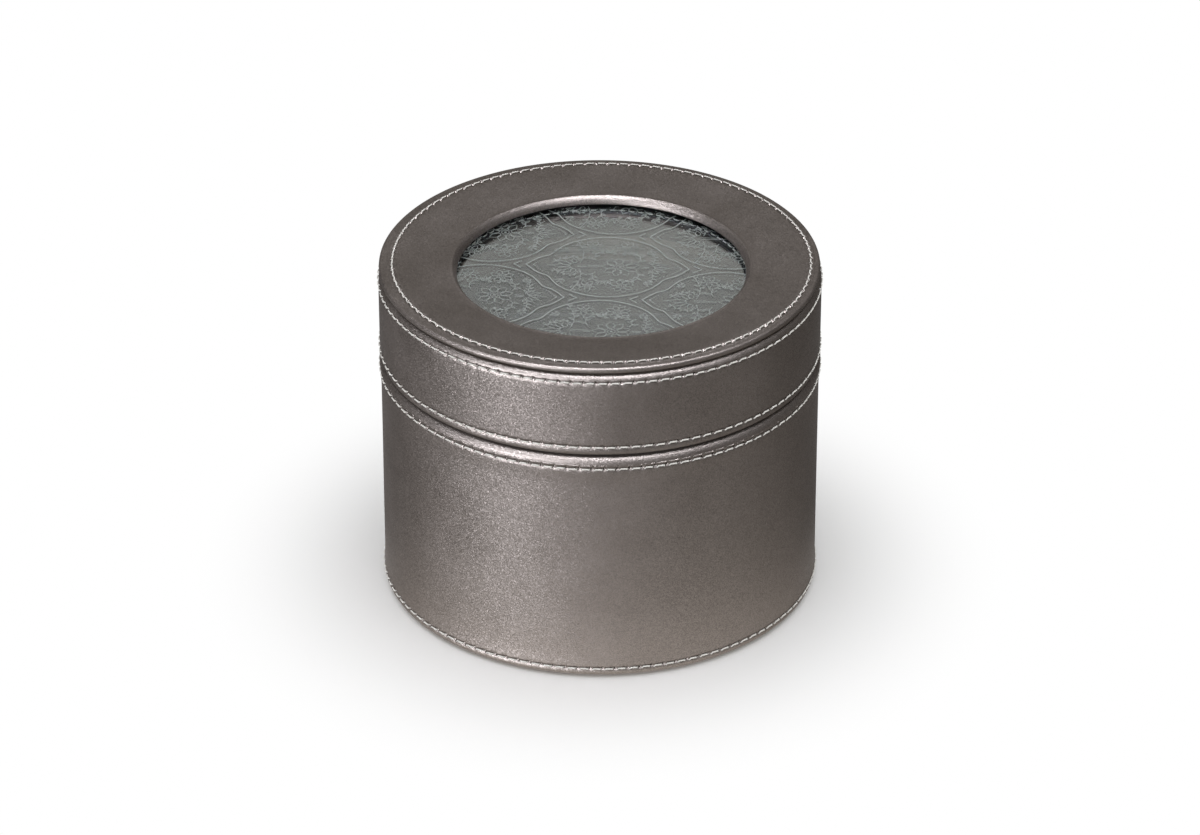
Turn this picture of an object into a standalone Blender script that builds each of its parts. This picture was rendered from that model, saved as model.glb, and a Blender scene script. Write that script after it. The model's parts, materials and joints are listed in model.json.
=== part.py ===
"""A round leatherette jewelry box: a base with a lift-out tray and a hinged lid with a glass window.

Metres, +Z up. The origin is the middle of the underside, the front faces -Y and the hinge is at the back.
"""

import math

import bmesh
import bpy
from mathutils import Matrix

MM = 0.001

# Heights above the table, from the photograph's proportions
BASE_HEIGHT = 80.7 * MM
LID_BAND_HEIGHT = 28.4 * MM
TOP_RING_HEIGHT = 2.4 * MM
COVER_LIFT = 0.7 * MM

# Plan: the base wall's outer radius, and what the rest steps in or out from it
BASE_RADIUS = 70.0 * MM
LID_OVERHANG = 0.3 * MM
WALL_THICKNESS = 6.0 * MM
RING_SETBACK = 0.4 * MM
RING_WIDTH = 25.3 * MM

# Sheet thicknesses
LEATHER = 1.1 * MM
RING_LEATHER = 0.7 * MM
LINING = 0.8 * MM
FLOOR_BOARD = 3.2 * MM
FLOOR_PAD = 1.6 * MM
FELT = 1.5 * MM
LID_TOP_BOARD = 1.6 * MM
GLASS = 2.0 * MM
RETAINER_LIP = 1.5 * MM

# Gaps
GLUE_GAP = 0.3 * MM
SEAM_GAP = 0.4 * MM
TRAY_CLEARANCE = 1.0 * MM

# Rolled edges of the covers
RIM_ROLL = 3.0 * MM
RIM_SWELL = 0.45 * MM
RIM_SWELL_HEIGHT = 7.0 * MM
LID_ROLL = 2.7 * MM
INNER_ROLL = 1.6 * MM
HEM_ROLL = 1.6 * MM
HEM_SWELL = 0.2 * MM
HEM_SWELL_HEIGHT = 7.0 * MM
RING_OUTER_ROLL = 0.8 * MM
WINDOW_ROLL = 2.2 * MM
TURN_IN = 5.0 * MM
BOTTOM_TURN = 4.4 * MM

# Window glass and what holds it
WINDOW_STEP = 0.3 * MM
GLASS_REBATE = 13.4 * MM
RETAINER_REVEAL = 1.4 * MM

# Collar and tray
COLLAR_HEIGHT = 42.8 * MM
COLLAR_THICKNESS = 2.6 * MM
TRAY_HEIGHT = 28.2 * MM
TRAY_WALL = 2.2 * MM
TRAY_BASE = 2.0 * MM
DIVIDER = 2.0 * MM
DIVIDER_HEIGHT = 23.0 * MM
WELL_LENGTH = 80.0 * MM
WELL_WIDTH = 58.0 * MM
ROLL_COUNT = 5
ROLL_HEIGHT = 15.0 * MM
ROLL_CROWN = 4.5 * MM
TAB_WIDTH = 10.0 * MM
TAB_THICKNESS = 1.4 * MM
TAB_FOLD = 2.2 * MM
TAB_LENGTH = 20.0 * MM
TAB_STAND = 3.5 * MM

# Hinge
HINGE_LENGTH = 30.0 * MM
KNUCKLE_COUNT = 5
KNUCKLE_RADIUS = 1.6 * MM
KNUCKLE_GAP = 0.3 * MM
LEAF = 0.8 * MM
HINGE_STAND_OFF = 0.1 * MM
PIN_RADIUS = 0.75 * MM
PIN_CLEARANCE = 0.1 * MM
PIN_HEAD_RADIUS = 1.2 * MM
PIN_HEAD = 0.7 * MM
MORTISE_CLEARANCE = 0.2 * MM
MORTISE_SIDE = 0.4 * MM

# Screws
SCREW_SPACING = 9.0 * MM
SCREW_SHANK_RADIUS = 0.55 * MM
SCREW_HEAD_RADIUS = 1.25 * MM
SCREW_HEAD = 0.65 * MM
SCREW_LENGTH = 7.0 * MM
SCREW_TIP = 0.8 * MM
SCREW_CLEARANCE = 0.15 * MM
SCREW_SINK = 0.05 * MM

# Facets round a full turn, and the longest facet along a rolled edge
COVER_SIDES = 48
SHELL_SIDES = 32
SMALL_SIDES = 12
BARREL_SIDES = 16
ROLL_FACET = 1.3 * MM
FINE_FACET = 0.7 * MM
SMOOTH_ANGLE = math.radians(35)

# How far a cutter runs past what it cuts
PAST = 2.0 * MM

# Radii and levels that follow from the sizes above
LID_RADIUS = BASE_RADIUS + LID_OVERHANG
WALL_INNER_RADIUS = BASE_RADIUS - WALL_THICKNESS
TOP_RING_RADIUS = LID_RADIUS - RING_SETBACK
WINDOW_RADIUS = TOP_RING_RADIUS - RING_WIDTH
GLASS_RADIUS = WINDOW_RADIUS + GLASS_REBATE
SEAM_Z = BASE_HEIGHT + SEAM_GAP / 2
LID_BOTTOM = BASE_HEIGHT + SEAM_GAP
LID_TOP = LID_BOTTOM + LID_BAND_HEIGHT
RING_BOTTOM = LID_TOP + GLUE_GAP
RING_TOP = RING_BOTTOM + TOP_RING_HEIGHT
BOARD_INNER = WALL_INNER_RADIUS + LEATHER + GLUE_GAP
LINING_OUTER = BOARD_INNER - GLUE_GAP
LINING_INNER = LINING_OUTER - LINING
INSIDE_RADIUS = LINING_INNER - GLUE_GAP
COVER_BOTTOM_INNER = BASE_RADIUS - BOTTOM_TURN
FLOOR_Z = max(COVER_LIFT + LEATHER, FELT + GLUE_GAP)
LINING_Z = FLOOR_Z + FLOOR_BOARD + GLUE_GAP
COLLAR_Z = LINING_Z + FLOOR_PAD + GLUE_GAP
TRAY_Z = COLLAR_Z + COLLAR_HEIGHT + GLUE_GAP
TRAY_RADIUS = WALL_INNER_RADIUS - TRAY_CLEARANCE
TRAY_INNER = TRAY_RADIUS - TRAY_WALL
TRAY_FLOOR_Z = TRAY_Z + TRAY_BASE + GLUE_GAP
TRAY_TOP = TRAY_Z + TRAY_HEIGHT
TOP_BOARD_Z = LID_TOP - LID_TOP_BOARD
GLASS_TOP = TOP_BOARD_Z - GLUE_GAP
GLASS_Z = GLASS_TOP - GLASS
RETAINER_Z = GLASS_Z - GLUE_GAP - RETAINER_LIP
HINGE_Y = LID_RADIUS + HINGE_STAND_OFF + KNUCKLE_RADIUS
BASE_BOARD_TOP = BASE_HEIGHT - LEATHER - GLUE_GAP
LID_BOARD_BOTTOM = LID_BOTTOM + LEATHER + GLUE_GAP
LEAF_EDGE = WALL_INNER_RADIUS + GLUE_GAP
LEAF_OFFSET = SEAM_Z - BASE_BOARD_TOP - GLUE_GAP - LEAF
BOARD_MIDDLE = (BOARD_INNER + BASE_RADIUS - LEATHER - GLUE_GAP) / 2
SCREW_Y = math.sqrt(BOARD_MIDDLE**2 - SCREW_SPACING**2)


def clear_scene():
    for old in list(bpy.data.objects):
        bpy.data.objects.remove(old, do_unlink=True)


def material(name, colour, roughness, metallic=0.0, transmission=0.0):
    made = bpy.data.materials.new(name)
    made.use_nodes = True
    made.diffuse_color = (*colour, 1.0)
    shader = made.node_tree.nodes["Principled BSDF"]
    shader.inputs["Base Color"].default_value = (*colour, 1.0)
    shader.inputs["Roughness"].default_value = roughness
    shader.inputs["Metallic"].default_value = metallic
    shader.inputs["Transmission Weight"].default_value = transmission
    return made


def named_object(name, mesh_source, finish=None):
    """Turns a bmesh into an object of this name with its faces pointing out."""
    bmesh.ops.recalc_face_normals(mesh_source, faces=mesh_source.faces)
    mesh = bpy.data.meshes.new(name)
    mesh_source.to_mesh(mesh)
    mesh_source.free()
    mesh.shade_smooth()
    mesh.set_sharp_from_angle(angle=SMOOTH_ANGLE)
    if finish:
        mesh.materials.append(finish)
    made = bpy.data.objects.new(name, mesh)
    bpy.context.scene.collection.objects.link(made)
    return made


# Profiles: a corner is (across, up, rounding radius)


def rounded(corners, facet=ROLL_FACET):
    """The points of an open path whose corners are rounded by arcs with facets no longer than this."""
    points = [corners[0][:2]]
    for before, corner, after in zip(corners, corners[1:], corners[2:]):
        radius = corner[2]
        if radius <= 0:
            points.append(corner[:2])
            continue
        arrive = math.atan2(corner[1] - before[1], corner[0] - before[0])
        leave = math.atan2(after[1] - corner[1], after[0] - corner[0])
        turn = math.remainder(leave - arrive, math.tau)
        reach = radius * math.tan(abs(turn) / 2)
        side = math.copysign(math.pi / 2, turn)
        steps = max(1, math.ceil(radius * abs(turn) / facet))
        start = (corner[0] - reach * math.cos(arrive), corner[1] - reach * math.sin(arrive))
        centre = (start[0] + radius * math.cos(arrive + side), start[1] + radius * math.sin(arrive + side))
        for step in range(steps + 1):
            angle = arrive - side + turn * step / steps
            points.append((centre[0] + radius * math.cos(angle), centre[1] + radius * math.sin(angle)))
    points.append(corners[-1][:2])
    return points


def shifted(corners, distance):
    """The same path moved to its left by this distance, its roundings made tighter to match."""
    normals = []
    for start, end in zip(corners, corners[1:]):
        angle = math.atan2(end[1] - start[1], end[0] - start[0]) + math.pi / 2
        normals.append((math.cos(angle), math.sin(angle)))
    moved = []
    for index, (across, up, radius) in enumerate(corners):
        first = normals[max(index - 1, 0)]
        second = normals[min(index, len(normals) - 1)]
        share = distance / (1 + first[0] * second[0] + first[1] * second[1])
        moved.append(
            (
                across + (first[0] + second[0]) * share,
                up + (first[1] + second[1]) * share,
                max(radius - distance, 0),
            )
        )
    return moved


def closed_section(corners, facet=ROLL_FACET):
    """The same for a closed outline, whose first corner stays square."""
    return rounded(corners + corners[:1], facet)[:-1]


def sheet_section(corners, thickness):
    """The closed section of a sheet of this thickness that is wrapped along a path."""
    outside = rounded(corners)
    inside = rounded(shifted(corners, thickness))
    return outside + inside[::-1]


def revolved(name, section, finish, sides=SHELL_SIDES):
    """Spins a closed section of (radius, height) points about the Z axis."""
    spun = bmesh.new()
    loop = [spun.verts.new((radius, 0, height)) for radius, height in section]
    edges = [spun.edges.new(pair) for pair in zip(loop, loop[1:] + loop[:1])]
    bmesh.ops.spin(
        spun,
        geom=loop + edges,
        cent=(0, 0, 0),
        axis=(0, 0, 1),
        angle=math.tau,
        steps=sides,
        use_merge=True,
    )
    return named_object(name, spun, finish)


def turned(name, outline, finish, sides=SHELL_SIDES):
    """A turned solid without a hole, from its outline's bottom end to its top end."""
    solid = bmesh.new()
    rings = []
    for radius, height in outline:
        ring = []
        for side in range(sides):
            angle = math.tau * side / sides
            ring.append(solid.verts.new((radius * math.cos(angle), radius * math.sin(angle), height)))
        rings.append(ring)
    solid.faces.new(rings[0][::-1])
    for low, high in zip(rings, rings[1:]):
        for side in range(sides):
            following = (side + 1) % sides
            solid.faces.new((low[side], low[following], high[following], high[side]))
    solid.faces.new(rings[-1])
    return named_object(name, solid, finish)


def prism(name, outline, length, finish):
    """A solid of the (y, z) outline, drawn out along X and centred on it."""
    solid = bmesh.new()
    face = solid.faces.new([solid.verts.new((-length / 2, y, z)) for y, z in outline])
    drawn = bmesh.ops.extrude_face_region(solid, geom=[face])
    moved = [item for item in drawn["geom"] if isinstance(item, bmesh.types.BMVert)]
    bmesh.ops.translate(solid, verts=moved, vec=(length, 0, 0))
    return named_object(name, solid, finish)


def block_cutter(name, boxes):
    """One cutter of separate boxes, each given by its lowest and highest corners."""
    blocks = bmesh.new()
    for low, high in boxes:
        middle = [(a + b) / 2 for a, b in zip(low, high)]
        size = [b - a for a, b in zip(low, high)]
        place = Matrix.Translation(middle) @ Matrix.Diagonal((*size, 1))
        bmesh.ops.create_cube(blocks, size=1, matrix=place)
    return as_cutter(named_object(name, blocks))


def as_cutter(helper):
    helper.hide_render = True
    helper.display_type = "WIRE"
    return helper


def cut(piece, *cutters):
    """Cuts a piece by each cutter and keeps the result as its own mesh."""
    for cutter in cutters:
        boolean = piece.modifiers.new(f"cut_by_{cutter.name}", "BOOLEAN")
        boolean.operation = "DIFFERENCE"
        boolean.solver = "EXACT"
        boolean.object = cutter
    bpy.context.view_layer.update()
    view = bpy.context.evaluated_depsgraph_get()
    whole = piece.data
    piece.data = bpy.data.meshes.new_from_object(piece.evaluated_get(view))
    piece.modifiers.clear()
    bpy.data.meshes.remove(whole)
    piece.data.name = piece.name
    piece.data.set_sharp_from_angle(angle=SMOOTH_ANGLE)


def moving_group(name, place, pieces):
    """Hangs pieces on an empty that stands on their joint's axis."""
    pivot = bpy.data.objects.new(name, None)
    pivot.location = place
    bpy.context.scene.collection.objects.link(pivot)
    for piece in pieces:
        piece.parent = pivot
        piece.matrix_parent_inverse = Matrix.Translation(place).inverted()
    return pivot


def wall_path():
    """The base cover's outer face: under the floor, up the wall, over the rim and down inside."""
    return [
        (COVER_BOTTOM_INNER, COVER_LIFT, 0),
        (BASE_RADIUS + HEM_SWELL, COVER_LIFT, HEM_ROLL),
        (BASE_RADIUS + HEM_SWELL, COVER_LIFT + HEM_SWELL_HEIGHT / 2, 0),
        (BASE_RADIUS, COVER_LIFT + HEM_SWELL_HEIGHT, 0),
        (BASE_RADIUS, BASE_HEIGHT - RIM_ROLL - RIM_SWELL_HEIGHT, 0),
        (BASE_RADIUS + RIM_SWELL, BASE_HEIGHT - RIM_ROLL, 0),
        (BASE_RADIUS + RIM_SWELL, BASE_HEIGHT, RIM_ROLL),
        (WALL_INNER_RADIUS, BASE_HEIGHT, INNER_ROLL),
        (WALL_INNER_RADIUS, BASE_HEIGHT - TURN_IN, 0),
    ]


def base_cover(finish):
    section = rounded(wall_path())
    inner = [
        (COVER_BOTTOM_INNER, COVER_LIFT + LEATHER, 0),
        (BASE_RADIUS - LEATHER, COVER_LIFT + LEATHER, 0),
        (BASE_RADIUS - LEATHER, BASE_HEIGHT - LEATHER, RIM_ROLL - LEATHER),
        (WALL_INNER_RADIUS + LEATHER, BASE_HEIGHT - LEATHER, INNER_ROLL - LEATHER),
        (WALL_INNER_RADIUS + LEATHER, BASE_HEIGHT - TURN_IN, 0),
    ]
    section += rounded(inner)[::-1]
    return revolved("base_wall_cover", section, finish, COVER_SIDES)


def base_board(finish):
    outer = BASE_RADIUS - LEATHER - GLUE_GAP
    corner = RIM_ROLL - LEATHER - GLUE_GAP
    bottom = COVER_LIFT + LEATHER + GLUE_GAP
    section = closed_section(
        [
            (BOARD_INNER, bottom, 0),
            (outer, bottom, 0),
            (outer, BASE_BOARD_TOP, corner),
            (BOARD_INNER, BASE_BOARD_TOP, INNER_ROLL - LEATHER - GLUE_GAP),
        ]
    )
    return revolved("base_wall_board", section, finish, COVER_SIDES)


def ring_section(inner, outer, bottom, top):
    return [(inner, bottom), (outer, bottom), (outer, top), (inner, top)]


def disc_outline(radius, bottom, top, edge):
    """A disc's outline with its top and bottom edges eased by this much."""
    return [
        (radius - edge, bottom),
        (radius, bottom + edge),
        (radius, top - edge),
        (radius - edge, top),
    ]


def base_pieces(leather, board, suede, felt):
    lining = ring_section(LINING_INNER, LINING_OUTER, LINING_Z, BASE_HEIGHT - TURN_IN - GLUE_GAP)
    collar = closed_section(
        [
            (INSIDE_RADIUS - COLLAR_THICKNESS, COLLAR_Z, 0),
            (INSIDE_RADIUS, COLLAR_Z, 0),
            (INSIDE_RADIUS, COLLAR_Z + COLLAR_HEIGHT, 0),
            (INSIDE_RADIUS - COLLAR_THICKNESS, COLLAR_Z + COLLAR_HEIGHT, COLLAR_THICKNESS / 2),
        ]
    )
    return [
        base_cover(leather),
        base_board(board),
        revolved("base_wall_lining", lining, suede, COVER_SIDES),
        turned(
            "base_floor_board",
            disc_outline(LINING_OUTER, FLOOR_Z, FLOOR_Z + FLOOR_BOARD, GLUE_GAP),
            board,
        ),
        turned(
            "base_floor_pad",
            disc_outline(INSIDE_RADIUS, LINING_Z, LINING_Z + FLOOR_PAD, FLOOR_PAD / 4),
            suede,
        ),
        revolved("tray_support_collar", collar, suede),
        turned(
            "underside_felt",
            disc_outline(COVER_BOTTOM_INNER - 2 * GLUE_GAP, 0, FELT, FELT / 4),
            felt,
        ),
    ]


def lid_cover(leather):
    """The lid band's cover: up inside the hem, round it, up the band, over the shoulder and in on top."""
    path = [
        (WALL_INNER_RADIUS, LID_BOTTOM + TURN_IN, 0),
        (WALL_INNER_RADIUS, LID_BOTTOM, INNER_ROLL),
        (LID_RADIUS, LID_BOTTOM, HEM_ROLL),
        (LID_RADIUS, LID_TOP, LID_ROLL),
        (BOARD_INNER, LID_TOP, 0),
    ]
    return revolved("lid_wall_cover", sheet_section(path, LEATHER), leather, COVER_SIDES)


def lid_board(board):
    outer = LID_RADIUS - LEATHER - GLUE_GAP
    top = LID_TOP - LEATHER - GLUE_GAP
    inner_corner = INNER_ROLL - LEATHER - GLUE_GAP
    section = closed_section(
        [
            (BOARD_INNER, top, 0),
            (BOARD_INNER, LID_BOARD_BOTTOM, inner_corner),
            (outer, LID_BOARD_BOTTOM, HEM_ROLL - LEATHER - GLUE_GAP),
            (outer, top, LID_ROLL - LEATHER - GLUE_GAP),
        ]
    )
    return revolved("lid_wall_board", section, board, COVER_SIDES)


def ring_path():
    """The top ring's outer face: up its edge, across the top and down into the window."""
    return [
        (TOP_RING_RADIUS, RING_BOTTOM, 0),
        (TOP_RING_RADIUS, RING_TOP, RING_OUTER_ROLL),
        (WINDOW_RADIUS, RING_TOP, WINDOW_ROLL),
        (WINDOW_RADIUS, RING_BOTTOM, 0),
    ]


def top_ring_pieces(leather, board):
    cover = sheet_section(ring_path(), RING_LEATHER)
    inner = rounded(shifted(ring_path(), RING_LEATHER + GLUE_GAP))
    return [
        revolved("top_ring_cover", cover, leather, COVER_SIDES),
        revolved("top_ring_board", inner, board, COVER_SIDES),
    ]


def lid_pieces(leather, board, suede, glass):
    lining = ring_section(LINING_INNER, LINING_OUTER, LID_BOTTOM + TURN_IN + GLUE_GAP, GLASS_TOP)
    top_board = ring_section(WINDOW_RADIUS + WINDOW_STEP, LINING_OUTER, TOP_BOARD_Z, LID_TOP)
    lip_inner = WINDOW_RADIUS + RETAINER_REVEAL
    seat = GLASS_RADIUS + GLUE_GAP
    retainer = [
        (lip_inner, RETAINER_Z),
        (INSIDE_RADIUS, RETAINER_Z),
        (INSIDE_RADIUS, GLASS_TOP),
        (seat, GLASS_TOP),
        (seat, RETAINER_Z + RETAINER_LIP),
        (lip_inner, RETAINER_Z + RETAINER_LIP),
    ]
    return [
        lid_cover(leather),
        lid_board(board),
        revolved("lid_wall_lining", lining, suede, COVER_SIDES),
        revolved("lid_top_board", top_board, leather, COVER_SIDES),
        turned("window_glass", disc_outline(GLASS_RADIUS, GLASS_Z, GLASS_TOP, GLASS / 8), glass),
        revolved("glass_retainer", retainer, suede),
    ]


def half_chord(radius, offset):
    """How far a straight piece at this offset may reach inside a faceted ring before it meets the ring."""
    inside = radius * math.cos(math.pi / SHELL_SIDES)
    return math.sqrt(inside * inside - offset * offset)


def divider(name, length, place, turn, finish):
    corners = [
        (-DIVIDER / 2, 0, 0),
        (DIVIDER / 2, 0, 0),
        (DIVIDER / 2, DIVIDER_HEIGHT, DIVIDER / 2.5),
        (-DIVIDER / 2, DIVIDER_HEIGHT, DIVIDER / 2.5),
    ]
    made = prism(name, closed_section(corners, FINE_FACET), length, finish)
    made.location = place
    made.rotation_euler.z = turn
    return made


def dividers(suede):
    long_offset = (WELL_WIDTH + DIVIDER) / 2
    short_offset = (WELL_LENGTH + DIVIDER) / 2
    long_length = 2 * (half_chord(TRAY_INNER, long_offset + DIVIDER / 2) - GLUE_GAP)
    short_length = WELL_WIDTH - 2 * GLUE_GAP
    quarter = math.pi / 2
    return [
        divider("tray_divider_front", long_length, (0, -long_offset, TRAY_FLOOR_Z), 0, suede),
        divider("tray_divider_rear", long_length, (0, long_offset, TRAY_FLOOR_Z), 0, suede),
        divider("tray_divider_left", short_length, (-short_offset, 0, TRAY_FLOOR_Z), quarter, suede),
        divider("tray_divider_right", short_length, (short_offset, 0, TRAY_FLOOR_Z), quarter, suede),
    ]


def ring_rolls(suede):
    """Padded bars side by side in the middle well, each flat below and crowned above."""
    width = (WELL_WIDTH - (ROLL_COUNT + 1) * GLUE_GAP) / ROLL_COUNT
    shoulder = ROLL_HEIGHT - ROLL_CROWN
    outline = [(-width / 2, 0), (width / 2, 0)]
    crown_steps = 8
    for step in range(crown_steps + 1):
        angle = math.pi * step / crown_steps
        outline.append((width / 2 * math.cos(angle), shoulder + ROLL_CROWN * math.sin(angle)))
    rolls = []
    for index in range(ROLL_COUNT):
        roll = prism(f"ring_roll_{index + 1}", outline, WELL_LENGTH - 2 * GLUE_GAP, suede)
        offset = (index - (ROLL_COUNT - 1) / 2) * (width + GLUE_GAP)
        roll.location = (0, offset, TRAY_FLOOR_Z)
        rolls.append(roll)
    return rolls


def pull_tab(name, side, ribbon):
    """A folded ribbon glued inside the tray's wall, its fold standing over the rim; side is -1 or 1."""
    bottom = -TAB_LENGTH
    neck = -2 * TAB_FOLD
    path = [
        (0, bottom, 0),
        (0, 0, TAB_FOLD / 2.2),
        (-TAB_FOLD, 0, TAB_FOLD / 2.2),
        (-TAB_FOLD, neck / 2, 0),
        (-TAB_THICKNESS, neck, 0),
        (-TAB_THICKNESS, bottom, 0),
    ]
    made = prism(name, rounded(path, FINE_FACET), TAB_WIDTH, ribbon)
    reach = half_chord(TRAY_INNER, TAB_WIDTH / 2) - GLUE_GAP
    made.location = (side * reach, 0, TRAY_TOP + TAB_STAND)
    made.rotation_euler.z = -side * math.pi / 2
    return made


def tray_pieces(suede, ribbon):
    wall = closed_section(
        [
            (TRAY_INNER, TRAY_Z, 0),
            (TRAY_RADIUS, TRAY_Z, TRAY_WALL / 4),
            (TRAY_RADIUS, TRAY_TOP, TRAY_WALL / 2.2),
            (TRAY_INNER, TRAY_TOP, TRAY_WALL / 2.2),
        ]
    )
    base = disc_outline(TRAY_INNER - GLUE_GAP, TRAY_Z, TRAY_Z + TRAY_BASE, GLUE_GAP)
    return [
        revolved("tray_wall", wall, suede),
        turned("tray_base", base, suede),
        *dividers(suede),
        *ring_rolls(suede),
        pull_tab("pull_tab_left", -1, ribbon),
        pull_tab("pull_tab_right", 1, ribbon),
    ]


# Hinge: side is -1 for the base leaf, below the seam, and 1 for the lid leaf, above it


def knuckle_span(index):
    """The start and end along X of one knuckle."""
    length = (HINGE_LENGTH - (KNUCKLE_COUNT - 1) * KNUCKLE_GAP) / KNUCKLE_COUNT
    start = -HINGE_LENGTH / 2 + index * (length + KNUCKLE_GAP)
    return start, start + length


def leaf_outline(side):
    """The leaf seen from its end: a flat plate that runs into a barrel round the pin."""
    near = side * LEAF_OFFSET
    far = side * (LEAF_OFFSET + LEAF)
    start = math.atan2(far, -math.sqrt(KNUCKLE_RADIUS**2 - far**2))
    end = math.atan2(near, -math.sqrt(KNUCKLE_RADIUS**2 - near**2)) - side * math.tau
    outline = [(LEAF_EDGE / 2 - HINGE_Y, near), (LEAF_EDGE / 2 - HINGE_Y, far)]
    for step in range(BARREL_SIDES + 1):
        angle = start + (end - start) * step / BARREL_SIDES
        outline.append((KNUCKLE_RADIUS * math.cos(angle), KNUCKLE_RADIUS * math.sin(angle)))
    return outline


def screw_places():
    return [("left", -SCREW_SPACING), ("middle", 0), ("right", SCREW_SPACING)]


def screw_outline(extra):
    """A countersunk screw's outline from tip to head, grown by this much all round."""
    shank = SCREW_SHANK_RADIUS + extra
    head = SCREW_HEAD_RADIUS + extra
    return [
        (shank / 4, -SCREW_LENGTH - extra),
        (shank, -SCREW_LENGTH + SCREW_TIP - extra),
        (shank, -SCREW_HEAD - extra),
        (head, 0),
    ]


def screw_hole_cutter(name, side):
    """The screw holes of one leaf and the board behind it, countersunk and open at the leaf."""
    outline = screw_outline(SCREW_CLEARANCE)
    outline.append((SCREW_HEAD_RADIUS + SCREW_CLEARANCE, PAST))
    holes = bmesh.new()
    face_z = SEAM_Z + side * LEAF_OFFSET
    for _, x in screw_places():
        rings = []
        for radius, height in outline:
            ring = []
            for step in range(SMALL_SIDES):
                angle = math.tau * step / SMALL_SIDES
                across = x + radius * math.cos(angle)
                back = SCREW_Y + radius * math.sin(angle)
                ring.append(holes.verts.new((across, back, face_z - side * height)))
            rings.append(ring)
        holes.faces.new(rings[0])
        for low, high in zip(rings, rings[1:]):
            for step in range(SMALL_SIDES):
                following = (step + 1) % SMALL_SIDES
                holes.faces.new((low[step], low[following], high[following], high[step]))
        holes.faces.new(rings[-1])
    return as_cutter(named_object(name, holes))


def leaf(name, side, metal, cutters):
    made = prism(name, leaf_outline(side), HINGE_LENGTH, metal)
    made.location = (0, HINGE_Y, SEAM_Z)
    cut(made, *cutters)
    return made


def knuckle_slots(name, first):
    """Room for the other leaf's knuckles, which are every second one from this index."""
    depth = KNUCKLE_RADIUS + KNUCKLE_GAP
    boxes = []
    for index in range(first, KNUCKLE_COUNT, 2):
        start, end = knuckle_span(index)
        low = (start - KNUCKLE_GAP, HINGE_Y - depth, SEAM_Z - 2 * depth)
        high = (end + KNUCKLE_GAP, HINGE_Y + 2 * depth, SEAM_Z + 2 * depth)
        boxes.append((low, high))
    return block_cutter(name, boxes)


def hinge_pin(metal):
    half = HINGE_LENGTH / 2 + PIN_CLEARANCE
    end = half + PIN_HEAD
    outline = [
        (PIN_HEAD_RADIUS * 0.6, -end),
        (PIN_HEAD_RADIUS, -end + PIN_HEAD / 2),
        (PIN_HEAD_RADIUS, -half),
        (PIN_RADIUS, -half),
        (PIN_RADIUS, half),
        (PIN_HEAD_RADIUS, half),
        (PIN_HEAD_RADIUS, end - PIN_HEAD / 2),
        (PIN_HEAD_RADIUS * 0.6, end),
    ]
    pin = turned("hinge_pin", outline, metal, BARREL_SIDES)
    pin.location = (0, HINGE_Y, SEAM_Z)
    pin.rotation_euler.y = math.pi / 2
    return pin


def screws(owner, side, metal):
    made = []
    for place, x in screw_places():
        screw = turned(f"{owner}_screw_{place}", screw_outline(0), metal, SMALL_SIDES)
        screw.location = (x, SCREW_Y, SEAM_Z + side * (LEAF_OFFSET + SCREW_SINK))
        screw.rotation_euler.x = math.pi if side > 0 else 0
        made.append(screw)
    return made


def mortise(name, side):
    """The notch that a leaf lies in, cut right through a rim's cover."""
    half = HINGE_LENGTH / 2 + MORTISE_SIDE
    depth = LEAF_OFFSET + LEAF + MORTISE_CLEARANCE
    levels = sorted((SEAM_Z - side * SEAM_GAP / 4, SEAM_Z + side * depth))
    low = (-half, LEAF_EDGE - LEAF_EDGE / 8, levels[0])
    high = (half, HINGE_Y + PAST, levels[1])
    return block_cutter(name, [(low, high)])


def turned_cutter(name, radius, low, high, sides):
    return as_cutter(turned(name, [(radius, low), (radius, high)], None, sides))


def hinge_pieces(base, lid, metal):
    """Lets the hinge into the two rims; returns its pieces that belong to the base and to the lid."""
    pieces = {piece.name: piece for piece in base + lid}
    bore = turned_cutter("bore", PIN_RADIUS + PIN_CLEARANCE, -HINGE_LENGTH, HINGE_LENGTH, BARREL_SIDES)
    bore.location = (0, HINGE_Y, SEAM_Z)
    bore.rotation_euler.y = math.pi / 2
    inner_edge = turned_cutter("inner_edge", LEAF_EDGE, 0, 2 * BASE_HEIGHT, COVER_SIDES)
    leaves = []
    cutters = [bore, inner_edge]
    for owner, side, first_slot in (("base", -1, 1), ("lid", 1, 0)):
        notch = mortise(f"{owner}_mortise", side)
        holes = screw_hole_cutter(f"{owner}_screw_holes", side)
        slots = knuckle_slots(f"{owner}_leaf_slots", first_slot)
        cut(pieces[f"{owner}_wall_cover"], notch)
        cut(pieces[f"{owner}_wall_board"], holes)
        leaves.append(leaf(f"hinge_leaf_{owner}", side, metal, [bore, slots, holes, inner_edge]))
        cutters += [notch, holes, slots]
    for cutter in cutters:
        bpy.data.objects.remove(cutter)
    base_side = [leaves[0], hinge_pin(metal), *screws("base", -1, metal)]
    lid_side = [leaves[1], *screws("lid", 1, metal)]
    return base_side, lid_side


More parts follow.
